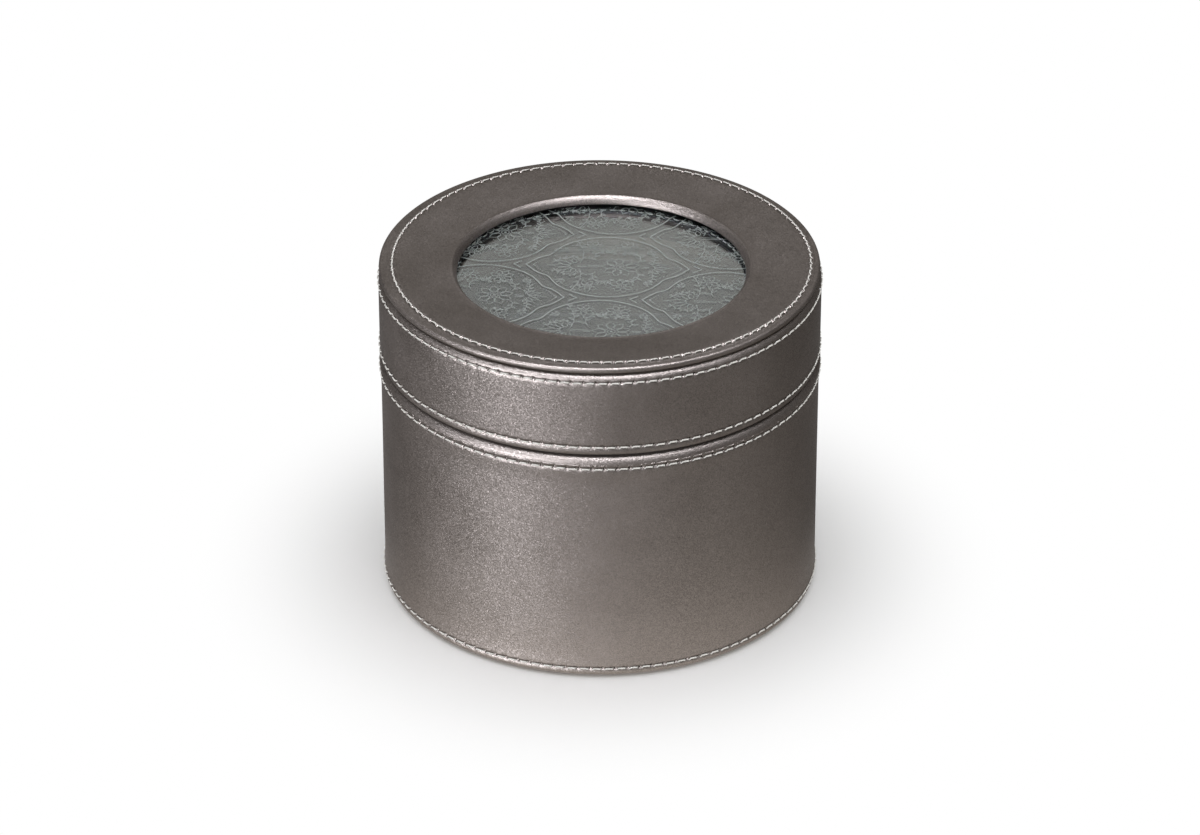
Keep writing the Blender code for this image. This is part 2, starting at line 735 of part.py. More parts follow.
def build():
    clear_scene()
    leather = material("leatherette", (0.17, 0.145, 0.125), 0.45, 0.35)
    board = material("board", (0.42, 0.36, 0.28), 0.9)
    suede = material("suede", (0.02, 0.02, 0.021), 0.95)
    ribbon = material("ribbon", (0.03, 0.03, 0.032), 0.6)
    felt = material("felt", (0.03, 0.03, 0.03), 1.0)
    glass = material("glass", (0.9, 0.93, 0.92), 0.02, 0.0, 1.0)
    metal = material("hinge_metal", (0.5, 0.49, 0.47), 0.3, 1.0)
    base = base_pieces(leather, board, suede, felt)
    lid = lid_pieces(leather, board, suede, glass) + top_ring_pieces(leather, board)
    base_hinge, lid_hinge = hinge_pieces(base, lid, metal)
    moving_group("lid_hinge_axis", (0, HINGE_Y, SEAM_Z), lid + lid_hinge)
    moving_group("tray_lift_axis", (0, 0, TRAY_Z), tray_pieces(suede, ribbon))


build()
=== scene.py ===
"""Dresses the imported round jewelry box: leatherette, thread, printed glass, suede, felt and metal.

Metres, +Z up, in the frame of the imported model. The box faces -Y, and its hinge is at the back, at +Y.
"""

import json
import math
import random

import bmesh
import bpy
import numpy as np
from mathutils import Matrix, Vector


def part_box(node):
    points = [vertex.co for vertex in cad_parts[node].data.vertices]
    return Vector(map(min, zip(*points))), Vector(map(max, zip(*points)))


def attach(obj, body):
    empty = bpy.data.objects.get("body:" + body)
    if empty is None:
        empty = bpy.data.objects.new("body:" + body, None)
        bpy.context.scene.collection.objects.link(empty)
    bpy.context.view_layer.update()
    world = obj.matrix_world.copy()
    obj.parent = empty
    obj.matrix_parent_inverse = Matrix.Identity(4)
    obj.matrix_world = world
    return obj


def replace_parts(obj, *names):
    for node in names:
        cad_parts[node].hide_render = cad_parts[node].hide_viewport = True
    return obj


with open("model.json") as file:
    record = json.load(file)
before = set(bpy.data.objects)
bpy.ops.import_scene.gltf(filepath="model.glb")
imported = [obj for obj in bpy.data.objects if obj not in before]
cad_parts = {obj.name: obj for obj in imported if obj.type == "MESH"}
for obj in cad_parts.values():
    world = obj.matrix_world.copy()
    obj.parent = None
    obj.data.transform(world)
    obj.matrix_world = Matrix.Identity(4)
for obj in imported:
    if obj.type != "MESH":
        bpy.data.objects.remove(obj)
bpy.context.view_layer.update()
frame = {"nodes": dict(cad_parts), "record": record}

MM = 0.001

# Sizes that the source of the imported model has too
BASE_HEIGHT = 80.7 * MM
BASE_RADIUS = 70.0 * MM
LID_RADIUS = 70.3 * MM
TOP_RING_RADIUS = 69.9 * MM
WINDOW_RADIUS = 44.6 * MM
WALL_INNER_RADIUS = 64.0 * MM
BOARD_INNER = 65.4 * MM
COVER_LIFT = 0.7 * MM
LEATHER = 1.1 * MM
RING_LEATHER = 0.7 * MM
LID_BOTTOM = 81.1 * MM
LID_TOP = 109.5 * MM
RING_BOTTOM = 109.8 * MM
RING_TOP = 112.2 * MM
RIM_ROLL = 3.0 * MM
RIM_SWELL = 0.45 * MM
RIM_SWELL_HEIGHT = 7.0 * MM
LID_ROLL = 2.7 * MM
INNER_ROLL = 1.6 * MM
HEM_ROLL = 1.6 * MM
HEM_SWELL = 0.2 * MM
HEM_SWELL_HEIGHT = 7.0 * MM
RING_OUTER_ROLL = 0.8 * MM
TURN_IN = 5.0 * MM
BOTTOM_TURN = 4.4 * MM
LINING = 0.8 * MM
GLUE_GAP = 0.3 * MM
GLASS_RADIUS = 58.0 * MM
GLASS_TOP = 107.6 * MM
GLASS = 2.0 * MM
RETAINER_REVEAL = 1.4 * MM
RETAINER_LIP = 1.5 * MM
RETAINER_Z = 103.8 * MM
INSIDE_RADIUS = 64.0 * MM
LINING_Z = 5.3 * MM
FLOOR_PAD = 1.6 * MM
FELT = 1.5 * MM
FELT_RADIUS = 65.0 * MM
COLLAR_Z = 7.2 * MM
COLLAR_HEIGHT = 42.8 * MM
COLLAR_THICKNESS = 2.6 * MM
TRAY_Z = 50.3 * MM
TRAY_RADIUS = 63.0 * MM
TRAY_INNER = 60.8 * MM
TRAY_BASE = 2.0 * MM
TRAY_TOP = 78.5 * MM
ROLL_COUNT = 5
TAB_THICKNESS = 1.4 * MM
TAB_FOLD = 2.2 * MM
TAB_LENGTH = 20.0 * MM
SCREW_HEAD_RADIUS = 1.25 * MM
SCREW_SHANK_RADIUS = 0.55 * MM
SCREW_HEAD = 0.65 * MM
SCREW_LENGTH = 7.0 * MM
SCREW_TIP = 0.8 * MM

# The hinge's recess in both walls: its half width, and the heights that the covers are cut to there
HINGE_HALF = 15.4 * MM
BASE_NOTCH = (79.35 * MM, 79.5 * MM)
LID_NOTCH = (82.3 * MM, 82.45 * MM)

# The top ring's dish, its crease and the bead that it turns down over, and the pane's true depth
RING_MARGIN_SINK = 0.25 * MM
RING_EDGE_BOTTOM = 110.0 * MM
CREASE_RADIUS = 47.3 * MM
CREASE_Z = 110.6 * MM
BEAD = 3.2 * MM
BEAD_START = math.radians(33)
BEAD_STEPS = 14
TOP_BOARD_INNER = 46.8 * MM
PANE_TOP = 106.4 * MM
LIP_TOP = RETAINER_Z + RETAINER_LIP
LIP_BEVEL = 0.8 * MM

# The sewn face of the top ring lies a little to the right of its edge, as on the real box
RING_STITCH_RADIUS = 66.45 * MM
RING_SHIFT = 0.45 * MM
RING_EDGE_SHIFT = -0.15 * MM

# Rings of stitches: (radius, height), the way the face points there, how many, and where they start
OUT, UP, DOWN = (1.0, 0.0), (0.0, 1.0), (0.0, -1.0)
LIP_STITCH_RADIUS = 47.5 * MM
SEAMS = {
    "base_high": ((BASE_RADIUS + 0.33 * MM, 76.4 * MM), OUT, 112, 0.019),
    "base_low": ((BASE_RADIUS + HEM_SWELL, 3.4 * MM), OUT, 112, 0.011),
    "lid_high": ((LID_RADIUS - 0.01 * MM, 106.9 * MM), OUT, 113, 0.024),
    "lid_low": ((LID_RADIUS, 84.15 * MM), OUT, 113, 0.006),
    "top_ring": ((RING_STITCH_RADIUS, RING_TOP), UP, 115, 0.013),
    "lip_top": ((LIP_STITCH_RADIUS, LIP_TOP - LIP_BEVEL), UP, 96, 0.01),
    "lip_under": ((LIP_STITCH_RADIUS + 0.5 * MM, RETAINER_Z), DOWN, 96, 0.01),
}

# Where a cover has its points along a stitch, as shares of its pitch: close together at the needle hole
STITCH_SAMPLES = (0.0, 0.055, 0.12, 0.24, 0.42, 0.62, 0.8, 0.9, 0.955)
THREAD_STEPS = 13
THREAD_SIDES = 8

# How stitches press into a cover: depths, and the widths over which each fades
GROOVE_DEPTH, GROOVE_WIDTH = 0.22 * MM, 0.55 * MM
HOLE_DEPTH, HOLE_ALONG, HOLE_ACROSS, HOLE_OFFSET = 0.75 * MM, 0.36 * MM, 0.4 * MM, 0.2 * MM
PINCH_DEPTH, PINCH_ALONG, PINCH_ACROSS = 0.12 * MM, 0.8 * MM, 1.1 * MM
SHEET_WAVE = 0.018 * MM

# The print on the glass: where its middle medallion lies, and how the trellis repeats
PRINT_CENTRE = (2.4 * MM, 6.1 * MM)
PRINT_TURN = math.radians(-3.9)
TRELLIS_LENGTH = 76.7 * MM
TRELLIS_HEIGHT = 42.2 * MM
PRINT_LINE = 0.44 * MM
FINE_LINE = 0.2 * MM
PRINT_BOTTOM = PANE_TOP + 0.004 * MM
PRINT_THICKNESS = 0.03 * MM
PRINT_REACH = 47.5 * MM

CAMERA_PLACE = (0, -1.5353, 0.9395)
CAMERA_AIM = (0, 0, 0.05456)
CAMERA_LENS = 165.13
CAMERA_SENSOR = 36

# The bright card behind the box, which the window mirrors to the camera, and a small glow on it
CARD_ELEVATION = math.radians(24.5)
CARD_CORE = math.radians(11)
CARD_EDGE = math.radians(19)
CARD_STRENGTH = 0.78
GLOW_AZIMUTH = math.radians(0.4)
GLOW_ELEVATION = math.radians(28.3)
GLOW_CORE = math.radians(0.2)
GLOW_EDGE = math.radians(1.3)
GLOW_STRENGTH = 0.4

# The ramps below are (from, to, value at from, value at to). These grade what the box mirrors of its
# surroundings: towards the back, upwards and to both sides
SKY_BACK = (-0.3, 0.6, 0.15, 0.40)
SKY_UP = (-0.05, 0.42, 0.22, 1.0)
SKY_ASIDE = (0.2, 0.65, 1.0, 0.55)
SKY_COLOUR = (0.995, 1, 0.93, 1)
AMBIENT = 0.84

# The floor's size and colour, and where it fades to white, by the distance from the box's middle
WHITE = (1, 1, 1, 1)
FLOOR_HALF = 6.0
FLOOR_DROP = 0.05 * MM
FLOOR_COLOUR = (0.86, 0.86, 0.855, 1)
FLOOR_FADE = (68 * MM, 134 * MM, 0.0, 1.0)

# How bright the floor glows to mirrors, a painted reflection on the box that is brighter than white: the sum
# of two ramps by the distance, times what is left of the front's brightness after the loss towards the back
FLOOR_GLOW_FAR = (85 * MM, 230 * MM, 1.5, 0.36)
FLOOR_GLOW_NEAR = (78 * MM, 116 * MM, 1.35, 0.0)
FLOOR_GLOW_FRONT = 1.1
FLOOR_GLOW_TO_BACK = (-85 * MM, 30 * MM, 0.0, 1.0)
FLOOR_GLOW_LOSS = (100 * MM, 190 * MM, 0.95, 0.28)

# The softboxes' light, a little cooler than the surroundings'
SOFTBOX_COLOUR = (0.93, 0.99, 1.13)
LAMP_AIM = (0, 0, 0.06)

# The leatherette's metallic flakes: how fine they are, and how far they lean
FLAKE_SCALES = (4700.0, 7200.0)
FLAKE_TILT = 0.26

SIMULATION_SCALE = 10.0
SIMULATION_FRAMES = 20

# Each slot's material, filled in by build
FINISHES = {}


# Materials


def add(tree, kind, values=None, **settings):
    """A node with these settings, whose inputs get these values or links."""
    made = tree.nodes.new(kind)
    for key, value in settings.items():
        setattr(made, key, value)
    for key, value in (values or {}).items():
        if isinstance(value, bpy.types.NodeSocket):
            tree.links.new(value, made.inputs[key])
        else:
            made.inputs[key].default_value = value
    return made


def new_material(name, values):
    """A material and its node tree and shader, with constant values on the shader's sockets."""
    made = bpy.data.materials.new(name)
    made.use_nodes = True
    tree = made.node_tree
    shader = tree.nodes["Principled BSDF"]
    for key, value in values.items():
        shader.inputs[key].default_value = value
    return made, tree, shader


def drive(tree, shader, outputs):
    for key, output in outputs.items():
        tree.links.new(output, shader.inputs[key])


def place_of(tree):
    return add(tree, "ShaderNodeTexCoord").outputs["Object"]


def noise(tree, place, scale, detail=2.0, roughness=0.5):
    values = {"Vector": place, "Scale": scale, "Detail": detail, "Roughness": roughness}
    return add(tree, "ShaderNodeTexNoise", values).outputs["Fac"]


def ramp(tree, factor, low, high, to_low, to_high, **settings):
    """A factor's way from low to high, carried over to another range and held at its ends."""
    values = {"Value": factor, "From Min": low, "From Max": high, "To Min": to_low, "To Max": to_high}
    return add(tree, "ShaderNodeMapRange", values, **settings).outputs["Result"]


def maths(tree, operation, first, second=0.0):
    return add(tree, "ShaderNodeMath", {0: first, 1: second}, operation=operation).outputs[0]


def vectors(tree, operation, values):
    return add(tree, "ShaderNodeVectorMath", values, operation=operation).outputs


def blend(tree, first, second, share):
    """This share of one value and the rest of another."""
    rest = maths(tree, "MULTIPLY", second, 1 - share)
    return maths(tree, "ADD", maths(tree, "MULTIPLY", first, share), rest)


def tinted(tree, factor, dark, light):
    """A colour between two, by a factor."""
    values = {"Factor": factor, "A": (*dark, 1), "B": (*light, 1)}
    return add(tree, "ShaderNodeMix", values, data_type="RGBA").outputs["Result"]


def bump(tree, height, strength, distance, normal=None):
    values = {"Height": height, "Strength": strength, "Distance": distance}
    if normal is not None:
        values["Normal"] = normal
    return add(tree, "ShaderNodeBump", values).outputs["Normal"]


def leatherette():
    """Coated taupe sheet with fine metallic flakes under a faint pressed grain."""
    values = {"Metallic": 0.72, "Specular IOR Level": 0.35, "Specular Tint": (0.33, 0.32, 0.31, 1)}
    made, tree, shader = new_material("leatherette", values)
    place = place_of(tree)
    colours, tilts = [], []
    for scale in FLAKE_SCALES:
        flakes = add(tree, "ShaderNodeTexVoronoi", {"Vector": place, "Scale": scale})
        colours.append(flakes.outputs["Color"])
        tilts.append(vectors(tree, "ADD", {0: colours[-1], 1: (-0.5, -0.5, -0.5)})[0])
    both = vectors(tree, "ADD", {0: tilts[0], 1: tilts[1]})[0]
    leaning = vectors(tree, "SCALE", {0: both, "Scale": FLAKE_TILT})[0]
    normal = add(tree, "ShaderNodeNewGeometry").outputs["Normal"]
    leaned = vectors(tree, "ADD", {0: normal, 1: leaning})[0]
    flake_normal = vectors(tree, "NORMALIZE", {0: leaned})[0]
    grain = noise(tree, place, 900.0, 3.0, 0.6)
    pores = noise(tree, place, 330.0)
    height = maths(tree, "ADD", grain, maths(tree, "MULTIPLY", pores, 0.8))
    speck = add(tree, "ShaderNodeSeparateColor", {"Color": colours[0]}).outputs[0]
    mottle = noise(tree, place, 45.0, 3.0, 0.6)
    share = blend(tree, speck, mottle, 0.75)
    drive(tree, shader, {
        "Base Color": tinted(tree, share, (0.058, 0.048, 0.041), (0.162, 0.138, 0.120)),
        "Roughness": ramp(tree, mottle, 0.3, 0.7, 0.44, 0.50),
        "Normal": bump(tree, height, 0.15, 0.05 * MM, flake_normal),
    })
    return made


def fibrous(name, values, grain, dark, light, strength, depth):
    """A matt material whose colour and relief follow one fine noise, of this scale, detail and roughness."""
    made, tree, shader = new_material(name, values)
    fibre = noise(tree, place_of(tree), *grain)
    colour = tinted(tree, fibre, dark, light)
    drive(tree, shader, {"Base Color": colour, "Normal": bump(tree, fibre, strength, depth)})
    return made


def thread_material():
    values = {"Roughness": 0.75, "Sheen Weight": 0.3, "Specular IOR Level": 0.3}
    dark, light = (0.50, 0.48, 0.44), (0.82, 0.80, 0.75)
    return fibrous("thread", values, (3800.0, 3.0, 0.7), dark, light, 0.4, 0.08 * MM)


def felt_material():
    values = {"Roughness": 1.0, "Specular IOR Level": 0.05, "Sheen Weight": 0.25}
    dark, light = (0.006, 0.006, 0.006), (0.05, 0.05, 0.05)
    return fibrous("felt", values, (1300.0, 5.0, 0.75), dark, light, 0.8, 0.35 * MM)


def board_material():
    values = {"Roughness": 0.9, "Specular IOR Level": 0.2}
    dark, light = (0.24, 0.20, 0.145), (0.44, 0.38, 0.29)
    return fibrous("board", values, (800.0, 5.0, 0.7), dark, light, 0.5, 0.15 * MM)


def suede_material():
    """Black suede: a fine nap, brushed lighter and darker in slow patches."""
    values = {"Roughness": 0.95, "Specular IOR Level": 0.12, "Sheen Weight": 0.35, "Sheen Roughness": 0.4}
    made, tree, shader = new_material("suede", values | {"Sheen Tint": (0.5, 0.5, 0.52, 1)})
    place = place_of(tree)
    nap = noise(tree, place, 2400.0, 4.0, 0.7)
    share = blend(tree, nap, noise(tree, place, 70.0, 3.0, 0.6), 0.6)
    drive(tree, shader, {
        "Base Color": tinted(tree, share, (0.004, 0.004, 0.0045), (0.030, 0.030, 0.032)),
        "Normal": bump(tree, nap, 0.6, 0.2 * MM),
    })
    return made


def ribbon_material():
    """Grosgrain: ribs across the ribbon, which stands upright on both tabs."""
    values = {"Roughness": 0.8, "Sheen Weight": 0.15, "Specular IOR Level": 0.2}
    made, tree, shader = new_material("ribbon", values)
    wave = {"Vector": place_of(tree), "Scale": 420.0, "Distortion": 0.4, "Detail": 1.0}
    ribs = add(tree, "ShaderNodeTexWave", wave, bands_direction="Z").outputs["Fac"]
    drive(tree, shader, {
        "Base Color": tinted(tree, ribs, (0.008, 0.008, 0.009), (0.045, 0.045, 0.048)),
        "Normal": bump(tree, ribs, 0.7, 0.15 * MM),
    })
    return made


def metal_material():
    """Satin pewter with fine scratches along the hinge."""
    made, tree, shader = new_material("hinge_metal", {"Metallic": 1.0})
    stretched = add(tree, "ShaderNodeMapping", {"Vector": place_of(tree), "Scale": (60, 1400, 1400)})
    scratches = noise(tree, stretched.outputs[0], 1.0, 4.0, 0.6)
    drive(tree, shader, {
        "Base Color": tinted(tree, scratches, (0.30, 0.285, 0.265), (0.44, 0.42, 0.39)),
        "Roughness": ramp(tree, scratches, 0.3, 0.7, 0.36, 0.52),
        "Normal": bump(tree, scratches, 0.2, 0.02 * MM),
    })
    return made


def glass_material():
    """Clear glass with the faintest smears."""
    values = {"Base Color": (0.93, 0.97, 0.955, 1), "Transmission Weight": 1.0, "IOR": 1.52}
    made, tree, shader = new_material("window_glass", values)
    smears = noise(tree, place_of(tree), 25.0, 4.0, 0.6)
    drive(tree, shader, {"Roughness": ramp(tree, smears, 0.45, 0.75, 0.0, 0.012)})
    return made


def print_material():
    made, tree, shader = new_material("glass_print", {"Roughness": 0.45, "Specular IOR Level": 0.5})
    grain = noise(tree, place_of(tree), 1500.0, 3.0, 0.6)
    drive(tree, shader, {"Base Color": tinted(tree, grain, (0.19, 0.215, 0.20), (0.33, 0.36, 0.34))})
    return made


# Camera and surroundings


def linked(made):
    bpy.context.scene.collection.objects.link(made)
    return made


def make_camera():
    camera_data = bpy.data.cameras.new("camera")
    camera = linked(bpy.data.objects.new("camera", camera_data))
    camera.location = CAMERA_PLACE
    aim = Vector(CAMERA_AIM) - camera.location
    camera.rotation_euler = aim.to_track_quat("-Z", "Y").to_euler()
    camera_data.lens = CAMERA_LENS
    camera_data.sensor_width = CAMERA_SENSOR
    camera_data.clip_start, camera_data.clip_end = 0.05, 50
    bpy.context.scene.camera = camera


def sky_distance(tree, direction, azimuth, elevation):
    """How far a direction lies from one behind the box, roughly in radians; azimuth 0 is straight behind."""
    level = math.cos(elevation)
    towards = (math.sin(azimuth) * level, math.cos(azimuth) * level, math.sin(elevation))
    return vectors(tree, "DISTANCE", {0: direction, 1: towards})["Value"]


def mixed(tree, factor, first, second):
    return add(tree, "ShaderNodeMixShader", {0: factor, 1: first, 2: second}).outputs[0]


def glowing(tree, kind, strength, colour=WHITE):
    return add(tree, kind, {"Color": colour, "Strength": strength}).outputs[0]


def ray_kinds(tree):
    """Whether a ray is mirrored, and whether it comes straight from the camera or through glass."""
    path = add(tree, "ShaderNodeLightPath").outputs
    return path["Is Glossy Ray"], maths(tree, "MAXIMUM", path["Is Camera Ray"], path["Is Transmission Ray"])


def make_world():
    """White to the camera and through glass, plain as light, and graded with a bright card in mirrors."""
    world = bpy.data.worlds.new("surroundings")
    bpy.context.scene.world = world
    world.use_nodes = True
    tree = world.node_tree
    tree.nodes.clear()
    direction = add(tree, "ShaderNodeTexCoord").outputs["Generated"]
    apart = add(tree, "ShaderNodeSeparateXYZ", {"Vector": direction}).outputs
    behind = ramp(tree, apart["Y"], *SKY_BACK)
    behind = maths(tree, "MULTIPLY", behind, ramp(tree, apart["Z"], *SKY_UP))
    behind = maths(tree, "MULTIPLY", behind, ramp(tree, maths(tree, "ABSOLUTE", apart["X"]), *SKY_ASIDE))
    card = sky_distance(tree, direction, 0.0, CARD_ELEVATION)
    on_card = ramp(tree, card, CARD_CORE, CARD_EDGE, CARD_STRENGTH, 0.0)
    glow = sky_distance(tree, direction, GLOW_AZIMUTH, GLOW_ELEVATION)
    on_glow = ramp(tree, glow, GLOW_CORE, GLOW_EDGE, GLOW_STRENGTH, 0.0)
    strength = maths(tree, "ADD", maths(tree, "MAXIMUM", behind, on_card), on_glow)
    mirrored = glowing(tree, "ShaderNodeBackground", strength, SKY_COLOUR)
    shown = glowing(tree, "ShaderNodeBackground", 1.0)
    ambient = glowing(tree, "ShaderNodeBackground", AMBIENT)
    in_mirror, seen = ray_kinds(tree)
    whole = mixed(tree, seen, mixed(tree, in_mirror, ambient, mirrored), shown)
    add(tree, "ShaderNodeOutputWorld", {"Surface": whole})


def make_floor():
    """A pale floor that fades to plain white away from the box. To mirrors it glows instead, a painted
    reflection, brightest near the box and in front.
    """
    mesh = bpy.data.meshes.new("floor")
    corners = ((-1, -1), (1, -1), (1, 1), (-1, 1))
    mesh.from_pydata([(x * FLOOR_HALF, y * FLOOR_HALF, 0) for x, y in corners], [], [(0, 1, 2, 3)])
    floor = linked(bpy.data.objects.new("floor", mesh))
    floor.location.z = -FLOOR_DROP
    values = {"Base Color": FLOOR_COLOUR, "Roughness": 0.9, "Specular IOR Level": 0.1}
    made, tree, shader = new_material("floor", values)
    place = place_of(tree)
    away = vectors(tree, "LENGTH", {0: place})["Value"]
    fade = ramp(tree, away, *FLOOR_FADE, interpolation_type="SMOOTHSTEP")
    in_mirror, seen = ray_kinds(tree)
    white = glowing(tree, "ShaderNodeEmission", 1.0)
    plain = mixed(tree, maths(tree, "MULTIPLY", fade, seen), shader.outputs[0], white)
    # Painted reflection: to mirrors the floor is a glow, not lit floor, brighter near the box and towards its
    # front
    bright = maths(tree, "ADD", ramp(tree, away, *FLOOR_GLOW_FAR), ramp(tree, away, *FLOOR_GLOW_NEAR))
    to_back = ramp(tree, add(tree, "ShaderNodeSeparateXYZ", {"Vector": place}).outputs["Y"], *FLOOR_GLOW_TO_BACK)
    lost = maths(tree, "MULTIPLY", to_back, ramp(tree, away, *FLOOR_GLOW_LOSS))
    bright = maths(tree, "MULTIPLY", bright, maths(tree, "SUBTRACT", FLOOR_GLOW_FRONT, lost))
    whole = mixed(tree, in_mirror, plain, glowing(tree, "ShaderNodeEmission", bright))
    tree.links.new(whole, tree.nodes["Material Output"].inputs["Surface"])
    mesh.materials.append(made)


def make_lamp(name, azimuth, elevation, distance, size, energy, colour=(1, 1, 1)):
    """A rectangular softbox that faces the box. Azimuth 0 is in front and grows towards +X, in degrees."""
    lamp_data = bpy.data.lights.new(name, "AREA")
    lamp_data.shape = "RECTANGLE"
    lamp_data.size, lamp_data.size_y = size
    lamp_data.energy = energy
    lamp_data.color = colour
    lamp = linked(bpy.data.objects.new(name, lamp_data))
    turn, rise = math.radians(azimuth), math.radians(elevation)
    towards = Vector((math.sin(turn) * math.cos(rise), -math.cos(turn) * math.cos(rise), math.sin(rise)))
    lamp.location = Vector(LAMP_AIM) + towards * distance
    lamp.rotation_euler = towards.to_track_quat("Z", "Y").to_euler()
    return lamp


def make_lamps():
    """Two softboxes that only mirrors show, and one soft light from above that they don't."""
    low = make_lamp("low_softbox", -40, 8, 1.3, (0.6, 0.4), 66.0, SOFTBOX_COLOUR)
    high = make_lamp("high_softbox", 2, 68, 1.4, (1.2, 0.5), 115.0, SOFTBOX_COLOUR)
    low.visible_diffuse = high.visible_diffuse = False
    make_lamp("soft_key", 10, 80, 1.4, (1.6, 1.6), 6.8).visible_glossy = False


# Meshes


def placed(name, mesh, body, slot):
    """An object of this mesh, in its slot's finish, that rides on a body."""
    mesh.shade_smooth()
    mesh.materials.clear()
    mesh.materials.append(FINISHES[slot])
    made = linked(bpy.data.objects.new(name, mesh))
    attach(made, body)
    return made


def mesh_object(name, vertices, faces, body, slot):
    mesh = bpy.data.meshes.new(name)
    mesh.from_pydata([tuple(v) for v in vertices], [], [tuple(f) for f in faces])
    return placed(name, mesh, body, slot)


def signed_volume(points, faces):
    a, b, c, d = (points[faces[:, k]] for k in range(4))
    first = np.einsum("ij,ij->i", a, np.cross(b, c))
    second = np.einsum("ij,ij->i", a, np.cross(c, d))
    return (first + second).sum()


def ring_object(name, points, body, slot):
    """A ring through points[round the box][round its section], closed in both directions."""
    count, along = points.shape[:2]
    index = np.arange(count * along).reshape(count, along)
    ahead = np.roll(index, -1, axis=0)
    corners = [index, ahead, np.roll(ahead, -1, axis=1), np.roll(index, -1, axis=1)]
    faces = np.stack(corners, -1).reshape(-1, 4)
    flat = points.reshape(-1, 3)
    if signed_volume(flat, faces) < 0:
        faces = faces[:, ::-1]
    return mesh_object(name, flat, faces, body, slot)


def tube_faces(count, around, first=0):
    """Faces of a closed tube through this many rings of points, with a cap at each end."""
    last = first + (count - 1) * around
    faces = []
    for row in range(first, last, around):
        for column in range(around):
            here, following = row + column, row + (column + 1) % around
            faces.append((here, following, around + following, around + here))
    return faces + [tuple(reversed(range(first, first + around))), tuple(range(last, last + around))]


def facing_out(mesh):
    """Turns every face of closed solids outwards."""
    work = bmesh.new()
    work.from_mesh(mesh)
    bmesh.ops.recalc_face_normals(work, faces=work.faces)
    work.to_mesh(mesh)
    work.free()


def lofted(name, rings, body, slot, node, sharp=None):
    """A closed tube through these rings of points, in place of a node, with edges sharp past an angle."""
    rings = np.asarray(rings, dtype=float)
    count, around = rings.shape[:2]
    made = mesh_object(name, rings.reshape(-1, 3), tube_faces(count, around), body, slot)
    facing_out(made.data)
    if sharp is not None:
        made.data.set_sharp_from_angle(angle=math.radians(sharp))
    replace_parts(made, node)
    return made


def turned(across, up, angles):
    """Points at these distances from the Z axis and these heights, at these angles round it."""
    up = np.broadcast_to(up, np.broadcast(across, angles).shape)
    return np.stack([across * np.cos(angles), across * np.sin(angles), up], -1)


def even_angles(sides):
    return np.arange(sides) * math.tau / sides


def circles(outline, sides=192):
    """Rings of points round the Z axis, one for each (radius, height)."""
    across, up = np.array(outline).T[:, :, None]
    return turned(across, up, even_angles(sides))


def disc(radius, low, high, ease):
    """The rings of a round plate with eased edges."""
    return circles([(radius - ease, low), (radius, low + ease), (radius, high - ease), (radius - ease, high)])


# Profiles: a corner is (across, up, rounding radius)


def rounded(corners, facet):
    """The points of an open path whose corners are rounded by arcs with facets no longer than this."""
    points = [corners[0][:2]]
    for before, corner, after in zip(corners, corners[1:], corners[2:]):
        radius = corner[2]
        if radius <= 0:
            points.append(corner[:2])
            continue
        arrive = math.atan2(corner[1] - before[1], corner[0] - before[0])
        leave = math.atan2(after[1] - corner[1], after[0] - corner[0])
        turn = math.remainder(leave - arrive, math.tau)
        reach = radius * math.tan(abs(turn) / 2)
        side = math.copysign(math.pi / 2, turn)
        steps = max(1, math.ceil(radius * abs(turn) / facet))
        centre = from_here(from_here(corner, arrive, -reach), arrive + side, radius)
        for step in range(steps + 1):
            points.append(from_here(centre, arrive - side + turn * step / steps, radius))
    points.append(corners[-1][:2])
    return points


def from_here(place, direction, distance):
    return place[0] + distance * math.cos(direction), place[1] + distance * math.sin(direction)


def shifted(corners, distance):
    """The same path moved to its left by this distance, its roundings made tighter to match."""
    normals = []
    for start, end in zip(corners, corners[1:]):
        angle = math.atan2(end[1] - start[1], end[0] - start[0]) + math.pi / 2
        normals.append((math.cos(angle), math.sin(angle)))
    moved = []
    for index, (across, up, radius) in enumerate(corners):
        first = normals[max(index - 1, 0)]
        second = normals[min(index, len(normals) - 1)]
        share = distance / (1 + first[0] * second[0] + first[1] * second[1])
        place = across + (first[0] + second[0]) * share, up + (first[1] + second[1]) * share
        moved.append((*place, max(radius - distance, 0)))
    return moved


def refined(path, marks=(), coarse=3.0 * MM, fine=0.22 * MM, reach=1.5 * MM):
    """The same path with points close together near the marks and far apart elsewhere."""
    points = [path[0]]
    for start, end in zip(path, path[1:]):
        length = math.dist(start, end)
        position = 0.0
        while True:
            share = position / length if length else 1.0
            here = [a + (b - a) * share for a, b in zip(start, end)]
            near = min((math.dist(here, mark) for mark in marks), default=1.0)
            position += min(coarse, max(fine, near - reach))
            if position > length - fine / 2:
                break
            share = position / length
            points.append(tuple(a + (b - a) * share for a, b in zip(start, end)))
        points.append(end)
    return points


def closed_section(corners, facet, coarse):
    """The points of a closed section, rounded at every corner but the first."""
    return refined(rounded(corners + corners[:1], facet), coarse=coarse)[:-1]


def path_lengths(path):
    steps = [math.dist(a, b) for a, b in zip(path, path[1:])]
    return np.concatenate([[0.0], np.cumsum(steps)])


def outward_normals(path):
    """Unit normals on the right of a path's direction of travel, at each of its points."""
    points = np.array(path)
    steps = np.diff(points, axis=0)
    steps /= np.maximum(np.linalg.norm(steps, axis=1), 1e-9)[:, None]
    tangents = np.concatenate([steps[:1], steps[:-1] + steps[1:], steps[-1:]])
    tangents /= np.maximum(np.linalg.norm(tangents, axis=1), 1e-9)[:, None]
    return np.stack([tangents[:, 1], -tangents[:, 0]], -1)


